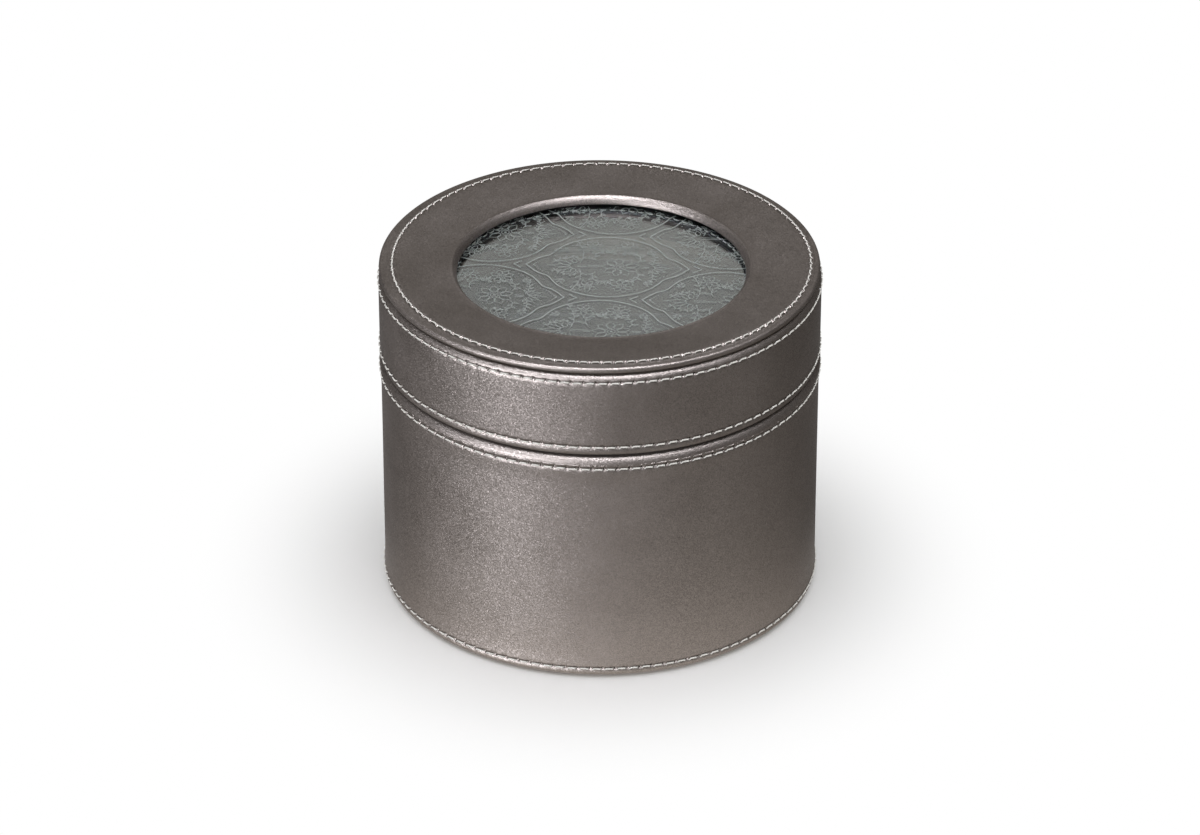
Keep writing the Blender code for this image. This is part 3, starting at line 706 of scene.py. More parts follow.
def slow_waves(angles, along, seed, size):
    """The slight unevenness of a sheet wrapped and glued by hand."""
    chance = random.Random(seed)
    total = np.zeros((len(angles), len(along)))
    for _ in range(9):
        turns = chance.randint(2, 14)
        stretch = chance.uniform(20, 160)
        phase = chance.uniform(0, math.tau)
        height = chance.uniform(0.3, 1.0) / math.sqrt(turns)
        total += height * np.sin(turns * angles[:, None] + stretch * along[None, :] + phase)
    return total * size


def spun(name, node, body, slot, seed, corners, wave=0.03 * MM):
    """A covered board ring: its closed section spun round the box, with a hand-made unevenness."""
    section = closed_section(corners, 0.4 * MM, 2.5 * MM)
    angles = even_angles(224)
    across, up = np.array(section).T
    swell = slow_waves(angles, path_lengths(section), seed, wave)
    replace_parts(ring_object(name, turned(across + swell, up, angles[:, None]), body, slot), node)


# Leatherette covers


def bell(distance, width):
    """1 in the middle, falling off softly on both sides."""
    return np.exp(-((distance / width) ** 2))


def groove_and_holes(angles, radius, distance, count, phase):
    """How deep a stitch ring presses into the cover, at each angle and each distance across the ring."""
    pitch = math.tau / count
    turn = (angles - phase) / pitch
    beside = ((turn - np.round(turn)) * pitch * radius)[:, None]
    groove = GROOVE_DEPTH * bell(distance, GROOVE_WIDTH)
    pits = HOLE_DEPTH * bell(beside, HOLE_ALONG) * bell(distance - HOLE_OFFSET, HOLE_ACROSS)
    return groove + pits + PINCH_DEPTH * bell(distance, PINCH_ACROSS) * bell(beside, PINCH_ALONG)


def back_seam(angles):
    """Where the two ends of a wrapped sheet overlap at the back: a step with a pressed line beside it."""
    beside = (np.remainder(angles - math.pi / 2 + math.pi, math.tau) - math.pi) * BASE_RADIUS
    step = 0.16 * MM * np.where(beside > 0, np.exp(-beside / (5 * MM)), 0)
    return 0.28 * MM * bell(beside, 0.42 * MM) - step


def window_pleats(angles, points):
    """Fine gathers where the sheet turns down into the round window."""
    chance = random.Random(41)
    waves = np.zeros(len(angles))
    for _ in range(14):
        turns = chance.randint(70, 230)
        waves += chance.uniform(0.4, 1.0) * np.sin(turns * angles + chance.uniform(0, math.tau))
    strength = 0.5 + 0.5 * np.sin(3 * angles + 1.1) * np.sin(5 * angles + 0.4)
    near = bell(points[:, 0] - CREASE_RADIUS + 1.2 * MM, 1.3 * MM)
    return 0.010 * MM * (waves * strength)[:, None] * near


def wrapped_cover(name, node, body, seed, corners, inside, seams, notch=None, shift=None, pleats=None):
    """A leatherette cover: a sheet spun round the box, pressed in along its seams.

    corners is its outer path and inside its hidden one. notch is cut out round the hinge, shift moves
    the sheet sideways, and pleats take the place of the overlap at the back.
    """
    outer = refined(rounded(corners, 0.3 * MM), [SEAMS[seam][0] for seam in seams])
    hidden = np.array(rounded(inside, 0.9 * MM)[::-1])
    along = path_lengths(outer)
    skin = np.array(outer)
    _, _, count, phase = SEAMS[seams[0]]
    pitch = math.tau / count
    angles = np.array([(k + share) * pitch + phase for k in range(count) for share in STITCH_SAMPLES])
    ends = np.clip(np.minimum(along, along[-1] - along) / (2 * MM), 0, 1)
    press = slow_waves(angles, along, seed, SHEET_WAVE) * ends
    for seam in seams:
        place, _, count, phase = SEAMS[seam]
        nearest = int(np.argmin([math.dist(point, place) for point in outer]))
        press += groove_and_holes(angles, place[0], along - along[nearest], count, phase)
    press += pleats(angles, skin) if pleats else back_seam(angles)[:, None] * ends
    sheet = skin - press[:, :, None] * outward_normals(outer)
    whole = np.concatenate([sheet, np.tile(hidden, (len(angles), 1, 1))], axis=1)
    across, up = whole[:, :, 0], whole[:, :, 1]
    points = turned(across, up, angles[:, None])
    if notch is not None:
        # The outer face and the hidden one are cut to slightly different heights, so the edge has a face
        low, high = notch
        behind = (np.abs(points[:, :, 0]) < HINGE_HALF) & (points[:, :, 1] > 0)
        outside = np.arange(points.shape[1]) < len(skin)
        if body == "base":
            capped = np.minimum(up, np.where(outside, high, low))
        else:
            capped = np.maximum(up, np.where(outside, low, high))
        points[:, :, 2] = np.where(behind, capped, up)
    if shift is not None:
        points[:, :, 0] += shift(across)
    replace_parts(ring_object(name, points, body, "leatherette"), node)


def base_corners():
    hem, swell = BASE_RADIUS + HEM_SWELL, BASE_RADIUS + RIM_SWELL
    return [
        (BASE_RADIUS - BOTTOM_TURN, COVER_LIFT, 0),
        (hem, COVER_LIFT, HEM_ROLL),
        (hem, COVER_LIFT + HEM_SWELL_HEIGHT / 2, 0),
        (BASE_RADIUS, COVER_LIFT + HEM_SWELL_HEIGHT, 0),
        (BASE_RADIUS, BASE_HEIGHT - RIM_ROLL - RIM_SWELL_HEIGHT, 0),
        (swell, BASE_HEIGHT - RIM_ROLL, 0),
        (swell, BASE_HEIGHT, RIM_ROLL),
        (WALL_INNER_RADIUS, BASE_HEIGHT, INNER_ROLL),
        (WALL_INNER_RADIUS, BASE_HEIGHT - TURN_IN, 0),
    ]


def base_inside():
    outer, inner = BASE_RADIUS - LEATHER, WALL_INNER_RADIUS + LEATHER
    return [
        (BASE_RADIUS - BOTTOM_TURN, COVER_LIFT + LEATHER, 0),
        (outer, COVER_LIFT + LEATHER, 0),
        (outer, BASE_HEIGHT - LEATHER, RIM_ROLL - LEATHER),
        (inner, BASE_HEIGHT - LEATHER, INNER_ROLL - LEATHER),
        (inner, BASE_HEIGHT - TURN_IN, 0),
    ]


def lid_corners():
    return [
        (WALL_INNER_RADIUS, LID_BOTTOM + TURN_IN, 0),
        (WALL_INNER_RADIUS, LID_BOTTOM, INNER_ROLL),
        (LID_RADIUS, LID_BOTTOM, HEM_ROLL),
        (LID_RADIUS, LID_TOP, LID_ROLL),
        (BOARD_INNER, LID_TOP, 0),
    ]


def bead_point(turn):
    """A point of the bead round the window, where its face leans this far from level."""
    across = BEAD * (math.sin(turn) - math.sin(BEAD_START))
    down = BEAD * (math.cos(BEAD_START) - math.cos(turn))
    return CREASE_RADIUS - across, CREASE_Z - down


def ring_corners():
    """The top ring's outer face: round its edge, over the stitches, down a slight dish and over the bead."""
    brink = RING_TOP - RING_MARGIN_SINK
    bend = math.pi / 2 - BEAD_START
    return [
        (TOP_RING_RADIUS - 0.85 * MM, RING_EDGE_BOTTOM, 0),
        (TOP_RING_RADIUS, RING_EDGE_BOTTOM, 0.8 * MM),
        (TOP_RING_RADIUS, brink, RING_OUTER_ROLL),
        (RING_STITCH_RADIUS + 1.6 * MM, brink + 0.02 * MM, 1.5 * MM),
        (RING_STITCH_RADIUS + 0.7 * MM, RING_TOP, 2.0 * MM),
        (RING_STITCH_RADIUS - 1.5 * MM, RING_TOP, 8.0 * MM),
        (CREASE_RADIUS + 0.75 * MM, CREASE_Z - 0.12 * MM, 0.5 * MM),
        (CREASE_RADIUS + 0.15 * MM, CREASE_Z + 0.03 * MM, 0.12 * MM),
        (CREASE_RADIUS, CREASE_Z, 0),
    ] + [(*bead_point(BEAD_START + bend * step / BEAD_STEPS), 0) for step in range(1, BEAD_STEPS + 1)]


def ring_inside():
    """The top ring's hidden face, from its edge to the foot of the bead."""
    edge = TOP_RING_RADIUS - RING_LEATHER
    foot, bottom = bead_point(math.pi / 2)
    return [
        (edge - 0.15 * MM, RING_EDGE_BOTTOM + RING_LEATHER, 0),
        (edge, RING_EDGE_BOTTOM + RING_LEATHER, 0.1 * MM),
        (edge, RING_TOP - 1.0 * MM, 0.1 * MM),
        (RING_STITCH_RADIUS, RING_TOP - 1.25 * MM, 0),
        (CREASE_RADIUS, CREASE_Z - RING_LEATHER, 1.5 * MM),
        (foot + RING_LEATHER, bottom + 0.8 * MM, 0),
        (foot + RING_LEATHER, bottom, 0),
    ]


def ring_shift(across):
    """How far the ring lies to the right of the box's middle: its sewn face more than its edge."""
    return np.interp(across, (67.3 * MM, 68.8 * MM), (RING_SHIFT, RING_EDGE_SHIFT))


# Thread


def stitch_ring(name, body, seed, spread=0.27 * MM, lift=0.2 * MM, shift=0.0, sag=0.75 * MM, flat=1.0):
    """One seam's stitches: spread is the thread's half width, lift its rise over the cover, sag its slant.

    Each stitch leaves its needle hole low, arches over the leather and dips into the next hole. Its
    section has two lobes that turn along it, as a twisted thread's, and flat is how high they stand.
    """
    (ring_radius, ring_height), normal, count, phase = SEAMS[name]
    chance = random.Random(seed)
    pitch = math.tau / count
    thick = 0.85 * flat * spread
    vertices, faces = [], []
    upwards = (-normal[1], normal[0])
    for k in range(count):
        faces += tube_faces(THREAD_STEPS, THREAD_SIDES, len(vertices))
        wander = chance.uniform(-0.05, 0.05) * MM
        tight = chance.uniform(0.85, 1.15)
        reach = chance.uniform(-0.012, 0.012)
        for step in range(THREAD_STEPS):
            share = step / (THREAD_STEPS - 1)
            angle = phase + (k + 0.1 + share * (0.79 + reach)) * pitch
            rise = min(1.0, share / 0.25) - 0.3 * max(0.0, (share - 0.75) / 0.25)
            across = sag * tight * (rise - 0.75) + wander
            plunge = max(0.0, abs(2 * share - 1) - 0.76) / 0.24
            arch = (1 - (2 * share - 1) ** 6) * (0.6 + 0.7 * share)
            above = lift * arch - 0.8 * MM * plunge**1.3
            radius = ring_radius + normal[0] * above + upwards[0] * across
            height = ring_height + normal[1] * above + upwards[1] * across
            cos, sin = math.cos(angle), math.sin(angle)
            centre = Vector((radius * cos + shift, radius * sin, height))
            side = Vector((upwards[0] * cos, upwards[0] * sin, upwards[1]))
            up = Vector((normal[0] * cos, normal[0] * sin, normal[1]))
            for corner in range(THREAD_SIDES):
                turn = math.tau * corner / THREAD_SIDES
                lobe = (0.8 + 0.28 * share) * (1 + 0.13 * math.cos(2 * (turn - 0.9 * step)))
                section = side * (spread * math.cos(turn)) + up * (thick * math.sin(turn))
                vertices.append(centre + lobe * section)
    mesh_object(f"thread_{name}", vertices, faces, body, "thread")


# Print on the glass: an ogee trellis of medallions filled with outlined flowers, fans and leafy scrolls


class Ink:
    """Thin closed solids on the glass, gathered for one mesh. Places are in a medallion's own axes."""

    def __init__(self):
        self.vertices, self.faces = [], []
        self.made = 0
        self.place = (0.0, 0.0)

    def on_glass(self, point):
        across, back = point[0] + self.place[0], point[1] + self.place[1]
        cos, sin = math.cos(PRINT_TURN), math.sin(PRINT_TURN)
        return PRINT_CENTRE[0] + across * cos - back * sin, PRINT_CENTRE[1] + across * sin + back * cos

    def top(self):
        """Each solid's top, a little different from its neighbours', so that no two lie in one plane."""
        self.made += 1
        return PRINT_BOTTOM + PRINT_THICKNESS * (1 + 0.05 * (self.made % 7))

    def line(self, points, width=PRINT_LINE):
        """A line with flat ends, in as many runs as lie on the part of the glass that shows."""
        run = []
        for point in [self.on_glass(point) for point in points] + [None]:
            if point is not None and math.hypot(*point) < PRINT_REACH:
                run.append(point)
                continue
            if len(run) > 1:
                self.add_run(run, width / 2)
            run = []

    def add_run(self, run, half):
        self.faces += tube_faces(len(run), 4, len(self.vertices))
        top = self.top()
        for index, point in enumerate(run):
            before, after = run[max(index - 1, 0)], run[min(index + 1, len(run) - 1)]
            length = math.dist(before, after)
            left = (before[1] - after[1]) / length * half, (after[0] - before[0]) / length * half
            for sign, height in ((1, PRINT_BOTTOM), (-1, PRINT_BOTTOM), (-1, top), (1, top)):
                self.vertices.append((point[0] + sign * left[0], point[1] + sign * left[1], height))

    def patch(self, points):
        """A filled shape, from its outline counter-clockwise."""
        outline = [self.on_glass(point) for point in points]
        if max(math.hypot(*point) for point in outline) > PRINT_REACH:
            return
        self.faces += tube_faces(2, len(outline), len(self.vertices))
        for height in (PRINT_BOTTOM, self.top()):
            self.vertices.extend((*point, height) for point in outline)

    def dot(self, middle, radius):
        self.patch([from_here(middle, math.tau * step / 8, radius) for step in range(8)])

    def ring(self, middle, radius):
        self.line([from_here(middle, math.tau * step / 28, radius) for step in range(29)], FINE_LINE)


# Half the height of a medallion at places from its middle to a tip, in millimetres
MEDALLION = (
    (0.0, 20.0), (4.0, 19.6), (8.0, 18.2), (12.0, 16.0), (15.0, 13.2), (16.9, 10.2), (18.2, 7.6),
    (19.2, 6.7), (22.0, 5.0), (24.2, 2.5), (25.9, 0.0),
)

# What fills both halves of a medallion, in millimetres and radians. A stem is (along, off the middle
# line, direction, length, bend, tightening, leaf, the side its first leaves lean to), a flower is (along,
# off, size, petals) and a fan is (along, off, direction, size).
STEMS = (
    (-9.0, 1.6, 1.2, 15, 1.1, -0.5, 2.8, 1),
    (-3.6, 3.4, 2.2, 13, -2.2, 1.0, 2.5, 1),
    (9.4, 3.2, 1.0, 11, 1.9, 1.2, 2.4, -1),
    (13.6, 1.4, 1.1, 8, 0.6, 1.0, 2.0, 1),
    (-17.5, 1.8, 1.0, 9, -0.7, 1.0, 1.9, 1),
)
FLOWERS = ((-5.6, 13.2, 3.7, 7), (5.2, 12.6, 4.2, 8))
FANS = ((0.2, 8.2, math.pi / 2, 4.4), (-12.6, 9.0, math.pi - 0.6, 3.8), (11.6, 9.2, 0.5, 3.8))


def medallion_height(along):
    """Half the height of a medallion at this distance from its middle."""
    places, heights = zip(*MEDALLION)
    reach = np.interp(along, np.array(places) * MM, np.arange(len(places)))
    near = reach + (np.linspace(0, 1, 7) - 0.5) * 0.9
    return float(np.interp(near, np.arange(len(places)), heights).mean()) * MM


def medallion_outline(side, scale=1.0):
    steps = 110
    half = MEDALLION[-1][0] * MM
    points = []
    for step in range(-steps, steps + 1):
        along = half * math.sin(math.pi / 2 * step / steps)
        height = medallion_height(abs(along)) if abs(step) < steps else 0.0
        points.append((along * scale, side * height * scale))
    return points


def petal(base, direction, length, width, steps=7):
    """The outline of a pointed petal from its base, towards an angle."""
    cos, sin = math.cos(direction), math.sin(direction)
    outline = []
    for sign, shares in ((-1, range(steps + 1)), (1, range(steps - 1, -1, -1))):
        for step in shares:
            on = length * step / steps
            out = sign * width / 2 * math.sin(math.pi * (step / steps) ** 0.75)
            outline.append((base[0] + on * cos - out * sin, base[1] + on * sin + out * cos))
    return outline


def scroll(start, direction, length, bend, tighten):
    """Points of a stem that bends more and more as it goes."""
    points, angle = [start], direction
    steps = 26
    for step in range(steps):
        angle += bend * (1 + tighten * step / steps) / steps
        points.append(from_here(points[-1], angle, length / steps))
    return points


def draw_flower(ink, middle, size, petals):
    """Outlined petals about a ringed eye, with dots between their tips."""
    ink.ring(middle, 0.2 * size)
    ink.dot(middle, 0.07 * size)
    for k in range(petals):
        turn = math.tau * k / petals + 0.3
        ink.line(petal(from_here(middle, turn, 0.3 * size), turn, 0.68 * size, 0.46 * size), FINE_LINE)
        ink.dot(from_here(middle, turn + math.pi / petals, 0.98 * size), 0.18 * MM)


def draw_fan(ink, root, direction, size, leaves):
    """A fan of outlined leaves, longest in the middle, with a bead past each tip."""
    stalk = 0.22 * size
    for k in range(leaves):
        off = k - (leaves - 1) / 2
        towards = direction + off * 0.44
        length = size * (1 - 0.1 * abs(off) ** 1.3)
        leaf = petal(from_here(root, towards, stalk), towards, length - stalk, 0.2 * size)
        ink.line(leaf, FINE_LINE)
        ink.dot(from_here(root, towards, length + 0.5 * MM), 0.18 * MM)


def draw_stem(ink, points, leaf, side):
    """A stem with leaves on alternate sides, growing smaller towards its end."""
    ink.line(points, FINE_LINE)
    for index in range(3, len(points) - 1, 3):
        before, here = points[index - 1], points[index]
        along = math.atan2(here[1] - before[1], here[0] - before[0])
        size = leaf * (1 - 0.5 * index / len(points))
        lean = side * (0.9 if index % 2 else -0.9)
        ink.line(petal(here, along + lean, size, 0.34 * size, 5), FINE_LINE)
    ink.dot(points[-1], 0.3 * MM)


def draw_medallion(ink):
    """An ogee frame round a bloom and two fans on one stem, with leafy scrolls on both sides."""
    draw_flower(ink, (4.0 * MM, 0.0), 6.2 * MM, 9)
    draw_fan(ink, (-10.0 * MM, 0.0), math.pi, 8.6 * MM, 7)
    draw_fan(ink, (13.4 * MM, 0.0), 0.0, 6.4 * MM, 5)
    for side in (-1, 1):
        ink.line(medallion_outline(side))
        tip = side * (MEDALLION[-1][0] + 4.0) * MM
        arm = side * 2.4 * MM
        ink.line([(tip - arm, 2.2 * MM), (tip, 0.0), (tip - arm, -2.2 * MM)], 0.45 * MM)
        ink.line([(-9.6 * MM, side * 0.55 * MM), (-2.6 * MM, side * 0.4 * MM)], FINE_LINE)
        ink.line([(10.4 * MM, side * 0.5 * MM), (13.2 * MM, side * 0.3 * MM)], FINE_LINE)
        for along, off, direction, length, bend, tighten, leaf, lean in STEMS:
            start = (along * MM, side * off * MM)
            stem = scroll(start, side * direction, length * MM, side * bend, tighten)
            draw_stem(ink, stem, leaf * MM, side * lean)
        for along, off, size, petals in FLOWERS:
            draw_flower(ink, (along * MM, side * off * MM), size * MM, petals)
        for along, off, direction, size in FANS:
            draw_fan(ink, (along * MM, side * off * MM), side * direction, size * MM, 3)
        for index, bead in enumerate(medallion_outline(side, 0.91)):
            if index % 5 == 2:
                ink.dot(bead, 0.2 * MM)


def dress_print():
    ink = Ink()
    for column in range(-2, 3):
        for row in range(-2, 3):
            for half in (0.0, 0.5):
                ink.place = ((column + half) * TRELLIS_LENGTH, (row + half) * TRELLIS_HEIGHT)
                draw_medallion(ink)
    made = mesh_object("window_print", ink.vertices, ink.faces, "lid", "glass_print")
    made.data.set_sharp_from_angle(angle=math.radians(30))


# Window, linings and floor


def dress_window():
    dress_print()
    pane = disc(GLASS_RADIUS, GLASS_TOP - GLASS, PANE_TOP, 0.25 * MM)
    lofted("glass_pane", pane, "lid", "window_glass", "window_glass", 30)
    outer = BOARD_INNER - GLUE_GAP
    board_bottom = GLASS_TOP + GLUE_GAP
    spun("lid_top_board_leather", "lid_top_board", "lid", "leatherette", 31, [
        (outer, board_bottom, 0),
        (outer, LID_TOP, 0),
        (TOP_BOARD_INNER, LID_TOP, 0.5 * MM),
        (TOP_BOARD_INNER, board_bottom, 0.5 * MM),
    ])
    lip_inner = WINDOW_RADIUS + RETAINER_REVEAL
    seat = GLASS_RADIUS + GLUE_GAP
    spun("glass_retainer_suede", "glass_retainer", "lid", "suede", 32, [
        (lip_inner, RETAINER_Z, 0.6 * MM),
        (INSIDE_RADIUS, RETAINER_Z, 0.5 * MM),
        (INSIDE_RADIUS, GLASS_TOP, 0.2 * MM),
        (seat, GLASS_TOP, 0.2 * MM),
        (seat, LIP_TOP, 0),
        (lip_inner + 4.0 * MM, LIP_TOP, 0.6 * MM),
        (lip_inner + 2.8 * MM, LIP_TOP - LIP_BEVEL, 0.6 * MM),
        (lip_inner, LIP_TOP - LIP_BEVEL, 0.3 * MM),
    ], 0.02 * MM)
    stitch_ring("lip_top", "lid", 26, 0.26 * MM, 0.02 * MM, 0.0, 0.25 * MM, 0.5)
    stitch_ring("lip_under", "lid", 27, 0.26 * MM, 0.12 * MM, 0.0, 0.25 * MM, 0.8)


def upright(inner, outer, low, high, *roundings):
    """A wall's section, from its lower inner corner round by its lower outer one; roundings in mm."""
    corners = ((inner, low), (outer, low), (outer, high), (inner, high))
    return [(*corner, rounding * MM) for corner, rounding in zip(corners, roundings)]


def dress_linings():
    outer = BOARD_INNER - GLUE_GAP
    inner = outer - LINING
    section = upright(inner, outer, LINING_Z, BASE_HEIGHT - TURN_IN - GLUE_GAP, 0, 0, 0.35, 0.35)
    spun("base_lining_suede", "base_wall_lining", "base", "suede", 33, section)
    section = upright(inner, outer, LID_BOTTOM + TURN_IN + GLUE_GAP, GLASS_TOP, 0.35, 0.35, 0, 0)
    spun("lid_lining_suede", "lid_wall_lining", "lid", "suede", 34, section)
    inner, outer = INSIDE_RADIUS - COLLAR_THICKNESS, INSIDE_RADIUS - 0.1 * MM
    section = upright(inner, outer, COLLAR_Z, COLLAR_Z + COLLAR_HEIGHT, 0.3, 0.3, 0.9, 1.3)
    spun("tray_collar_suede", "tray_support_collar", "base", "suede", 35, section)
    felt_edge = [
        (FELT_RADIUS - 0.35 * MM, 0.0),
        (FELT_RADIUS - 0.1 * MM, 0.1 * MM),
        (FELT_RADIUS, 0.4 * MM),
        (FELT_RADIUS, FELT - 0.4 * MM),
        (FELT_RADIUS - 0.1 * MM, FELT - 0.1 * MM),
        (FELT_RADIUS - 0.35 * MM, FELT),
    ]
    lofted("underside_felt_disc", circles(felt_edge), "base", "felt", "underside_felt", 50)


def dress_floor_pad():
    """The compartment's thin foam pad under suede: crowned, with a soft edge and a few slow dents."""
    radius = INSIDE_RADIUS - 0.3 * MM
    edge = 2.2 * MM
    bulge = FLOOR_PAD / 2
    edge_steps, crown_steps = 12, 26
    outline = [(radius - edge, LINING_Z)]
    for step in range(edge_steps + 1):
        turn = math.pi * step / edge_steps
        rise = bulge * (1 - math.cos(turn)) * 0.86
        outline.append((radius - bulge + bulge * math.sin(turn), LINING_Z + rise))
    for step in range(1, crown_steps):
        out = (radius - edge) * (1 - step / crown_steps)
        crown = 0.14 * FLOOR_PAD * min(1.0, (radius - out) / (12 * MM))
        outline.append((out, LINING_Z + 0.86 * FLOOR_PAD + crown))
    rings = circles(outline, 144)
    top = rings[edge_steps + 2:]
    dents = 0.05 * MM * (np.sin(top[:, :, 0] * 95 + 1.3) * np.sin(top[:, :, 1] * 70 + 0.6))
    top[:, :, 2] += np.minimum(dents, 0.0)
    lofted("floor_pad_suede", rings, "base", "suede", "base_floor_pad")


# Tray


def padded_bar_outline(half_width, top, crown, steps=28):
    """The (y, z) outline of a padded bar: square with eased corners below, and crowned above."""
    points = []
    ease = min(1.1 * MM, half_width * 0.4)
    for side, start in ((1, -math.pi / 2), (-1, math.pi)):
        for step in range(5):
            turn = start + math.pi / 2 * step / 4
            points.append((side * (half_width - ease) + ease * math.cos(turn), ease + ease * math.sin(turn)))
        if side > 0:
            for step in range(steps + 1):
                turn = math.pi * step / steps
                points.append((half_width * math.cos(turn), top - crown + crown * math.sin(turn)))
    return points


def roll_rings(length, half_width, height, crown=4.6 * MM, stations=44):
    """A bar's rings along X, drawn in towards both ends."""
    rings = []
    for index in range(stations + 1):
        share = math.sin(math.pi / 2 * (2 * index / stations - 1))
        close = max(0.0, (abs(share) * length / 2 - (length / 2 - 4 * MM)) / (4 * MM))
        full = math.sqrt(max(0.03, 1 - (0.9 * close) ** 2.4))
        ring = padded_bar_outline(half_width * (0.55 + 0.45 * full), height * (0.72 + 0.28 * full), crown)
        rings.append([(share * length / 2, y, z) for y, z in ring])
    return rings


def points_of(mesh):
    points = np.empty(len(mesh.vertices) * 3)
    mesh.vertices.foreach_get("co", points)
    return points.reshape(-1, 3)


def swollen(mesh, voxel, most):
    """A closed mesh filled under pressure as cloth; no point moves further than most."""
    scene = bpy.context.scene
    helper = linked(bpy.data.objects.new("swelling", mesh))
    even = helper.modifiers.new("even", "REMESH")
    even.mode = "VOXEL"
    even.voxel_size = voxel
    view = bpy.context.evaluated_depsgraph_get()
    view.update()
    even_mesh = bpy.data.meshes.new_from_object(helper.evaluated_get(view))
    helper.modifiers.clear()
    helper.data = even_mesh
    start = points_of(even_mesh)
    cloth = helper.modifiers.new("cloth", "CLOTH")
    cloth.settings.use_pressure = True
    cloth.settings.uniform_pressure_force = 4.0
    cloth.settings.effector_weights.gravity = 0.0
    cloth.settings.tension_stiffness = 12
    cloth.settings.compression_stiffness = 8
    cloth.settings.bending_stiffness = 0.4
    cloth.point_cache.frame_start = 1
    cloth.point_cache.frame_end = SIMULATION_FRAMES
    for frame_number in range(1, SIMULATION_FRAMES + 1):
        scene.frame_set(frame_number)
    view = bpy.context.evaluated_depsgraph_get()
    moved = points_of(helper.evaluated_get(view).data) - start
    scene.frame_set(1)
    helper.modifiers.clear()
    length = np.maximum(np.linalg.norm(moved, axis=1), 1e-9)[:, None]
    points = start + moved / length * np.minimum(length, most)
    even_mesh.vertices.foreach_set("co", points.ravel())
    bpy.data.objects.remove(helper)
    return even_mesh


def roll_mesh(half_width, height, length):
    """A ring roll's padded form, in its own axes, resting on z 0. It is filled at a larger scale."""
    rings = np.asarray(roll_rings(length, half_width, height)) * SIMULATION_SCALE
    mesh = bpy.data.meshes.new("roll_form")
    mesh.from_pydata([tuple(point) for point in rings.reshape(-1, 3)], [], tube_faces(*rings.shape[:2]))
    facing_out(mesh)
    mesh = swollen(mesh, 0.8 * MM * SIMULATION_SCALE, 0.7 * MM * SIMULATION_SCALE)
    points = points_of(mesh) / SIMULATION_SCALE
    mesh.vertices.foreach_set("co", points.ravel())
    return mesh


def dress_rolls():
    """The ring rolls: one padded form, turned round and rippled a little differently for each."""
    boxes = [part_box(f"ring_roll_{index + 1}") for index in range(ROLL_COUNT)]
    low, high = boxes[0]
    half_width = (high[1] - low[1]) / 2
    height = high[2] - low[2]
    length = high[0] - low[0]
    form = roll_mesh(half_width - 0.35 * MM, height - 0.5 * MM, length - 1.0 * MM)
    form_points = points_of(form)
    for index, (low, high) in enumerate(boxes):
        chance = random.Random(60 + index)
        mesh = form.copy()
        points = form_points.copy()
        if index % 2:
            points[:, :2] *= -1
        phase, turns = chance.uniform(0, 6), chance.uniform(150, 230)
        lift = points[:, 2] / height
        points[:, 1] += 0.12 * MM * lift * np.sin(points[:, 0] * turns + phase)
        points[:, 2] *= 1 - 0.012 * (1 + np.sin(points[:, 0] * turns * 0.6 + phase * 2))
        points[:, 0] = np.clip(points[:, 0], -length / 2 + 0.1 * MM, length / 2 - 0.1 * MM)
        points[:, 1] = np.clip(points[:, 1], -half_width + 0.02 * MM, half_width - 0.02 * MM)
        points[:, 2] = np.clip(points[:, 2], 0, height - 0.02 * MM)
        points += np.array([(low[0] + high[0]) / 2, (low[1] + high[1]) / 2, low[2]])
        mesh.vertices.foreach_set("co", points.ravel())
        made = placed(f"ring_roll_suede_{index + 1}", mesh, "tray", "suede")
        finer = made.modifiers.new("finer", "SUBSURF")
        finer.levels = finer.render_levels = 1
        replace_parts(made, f"ring_roll_{index + 1}")


def divider_piece(node, seed):
    """A suede-covered board on edge, with a soft top edge and a slight bow."""
    low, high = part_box(node)
    spans = [high[axis] - low[axis] for axis in range(3)]
    lengthwise = 0 if spans[0] > spans[1] else 1
    crosswise = 1 - lengthwise
    half = spans[crosswise] / 2
    middle = (low[crosswise] + high[crosswise]) / 2
    section = closed_section(upright(-half, half, 0, spans[2], 0, 0, 0.95, 0.95), 0.2 * MM, 2 * MM)
    phase = random.Random(seed).uniform(0, math.tau)
    stations = 60
    rings = []
    for index in range(stations + 1):
        share = math.sin(math.pi / 2 * (2 * index / stations - 1)) / 2 + 0.5
        ends = min(share, 1 - share) * spans[lengthwise] / (0.7 * MM)
        slim = 1 - 0.3 * (1 - min(1.0, ends)) ** 2
        ring = []
        for out, up in section:
            bow = 0.06 * MM * math.sin(5 * share * math.pi + phase + 60 * up) * min(1.0, ends)
            point = [0.0, 0.0, low[2] + up]
            point[lengthwise] = low[lengthwise] + share * spans[lengthwise]
            point[crosswise] = middle + max(-half, min(half, out * slim + bow))
            ring.append(point)
        rings.append(ring)
    lofted(f"{node}_suede", rings, "tray", "suede", node, 60)


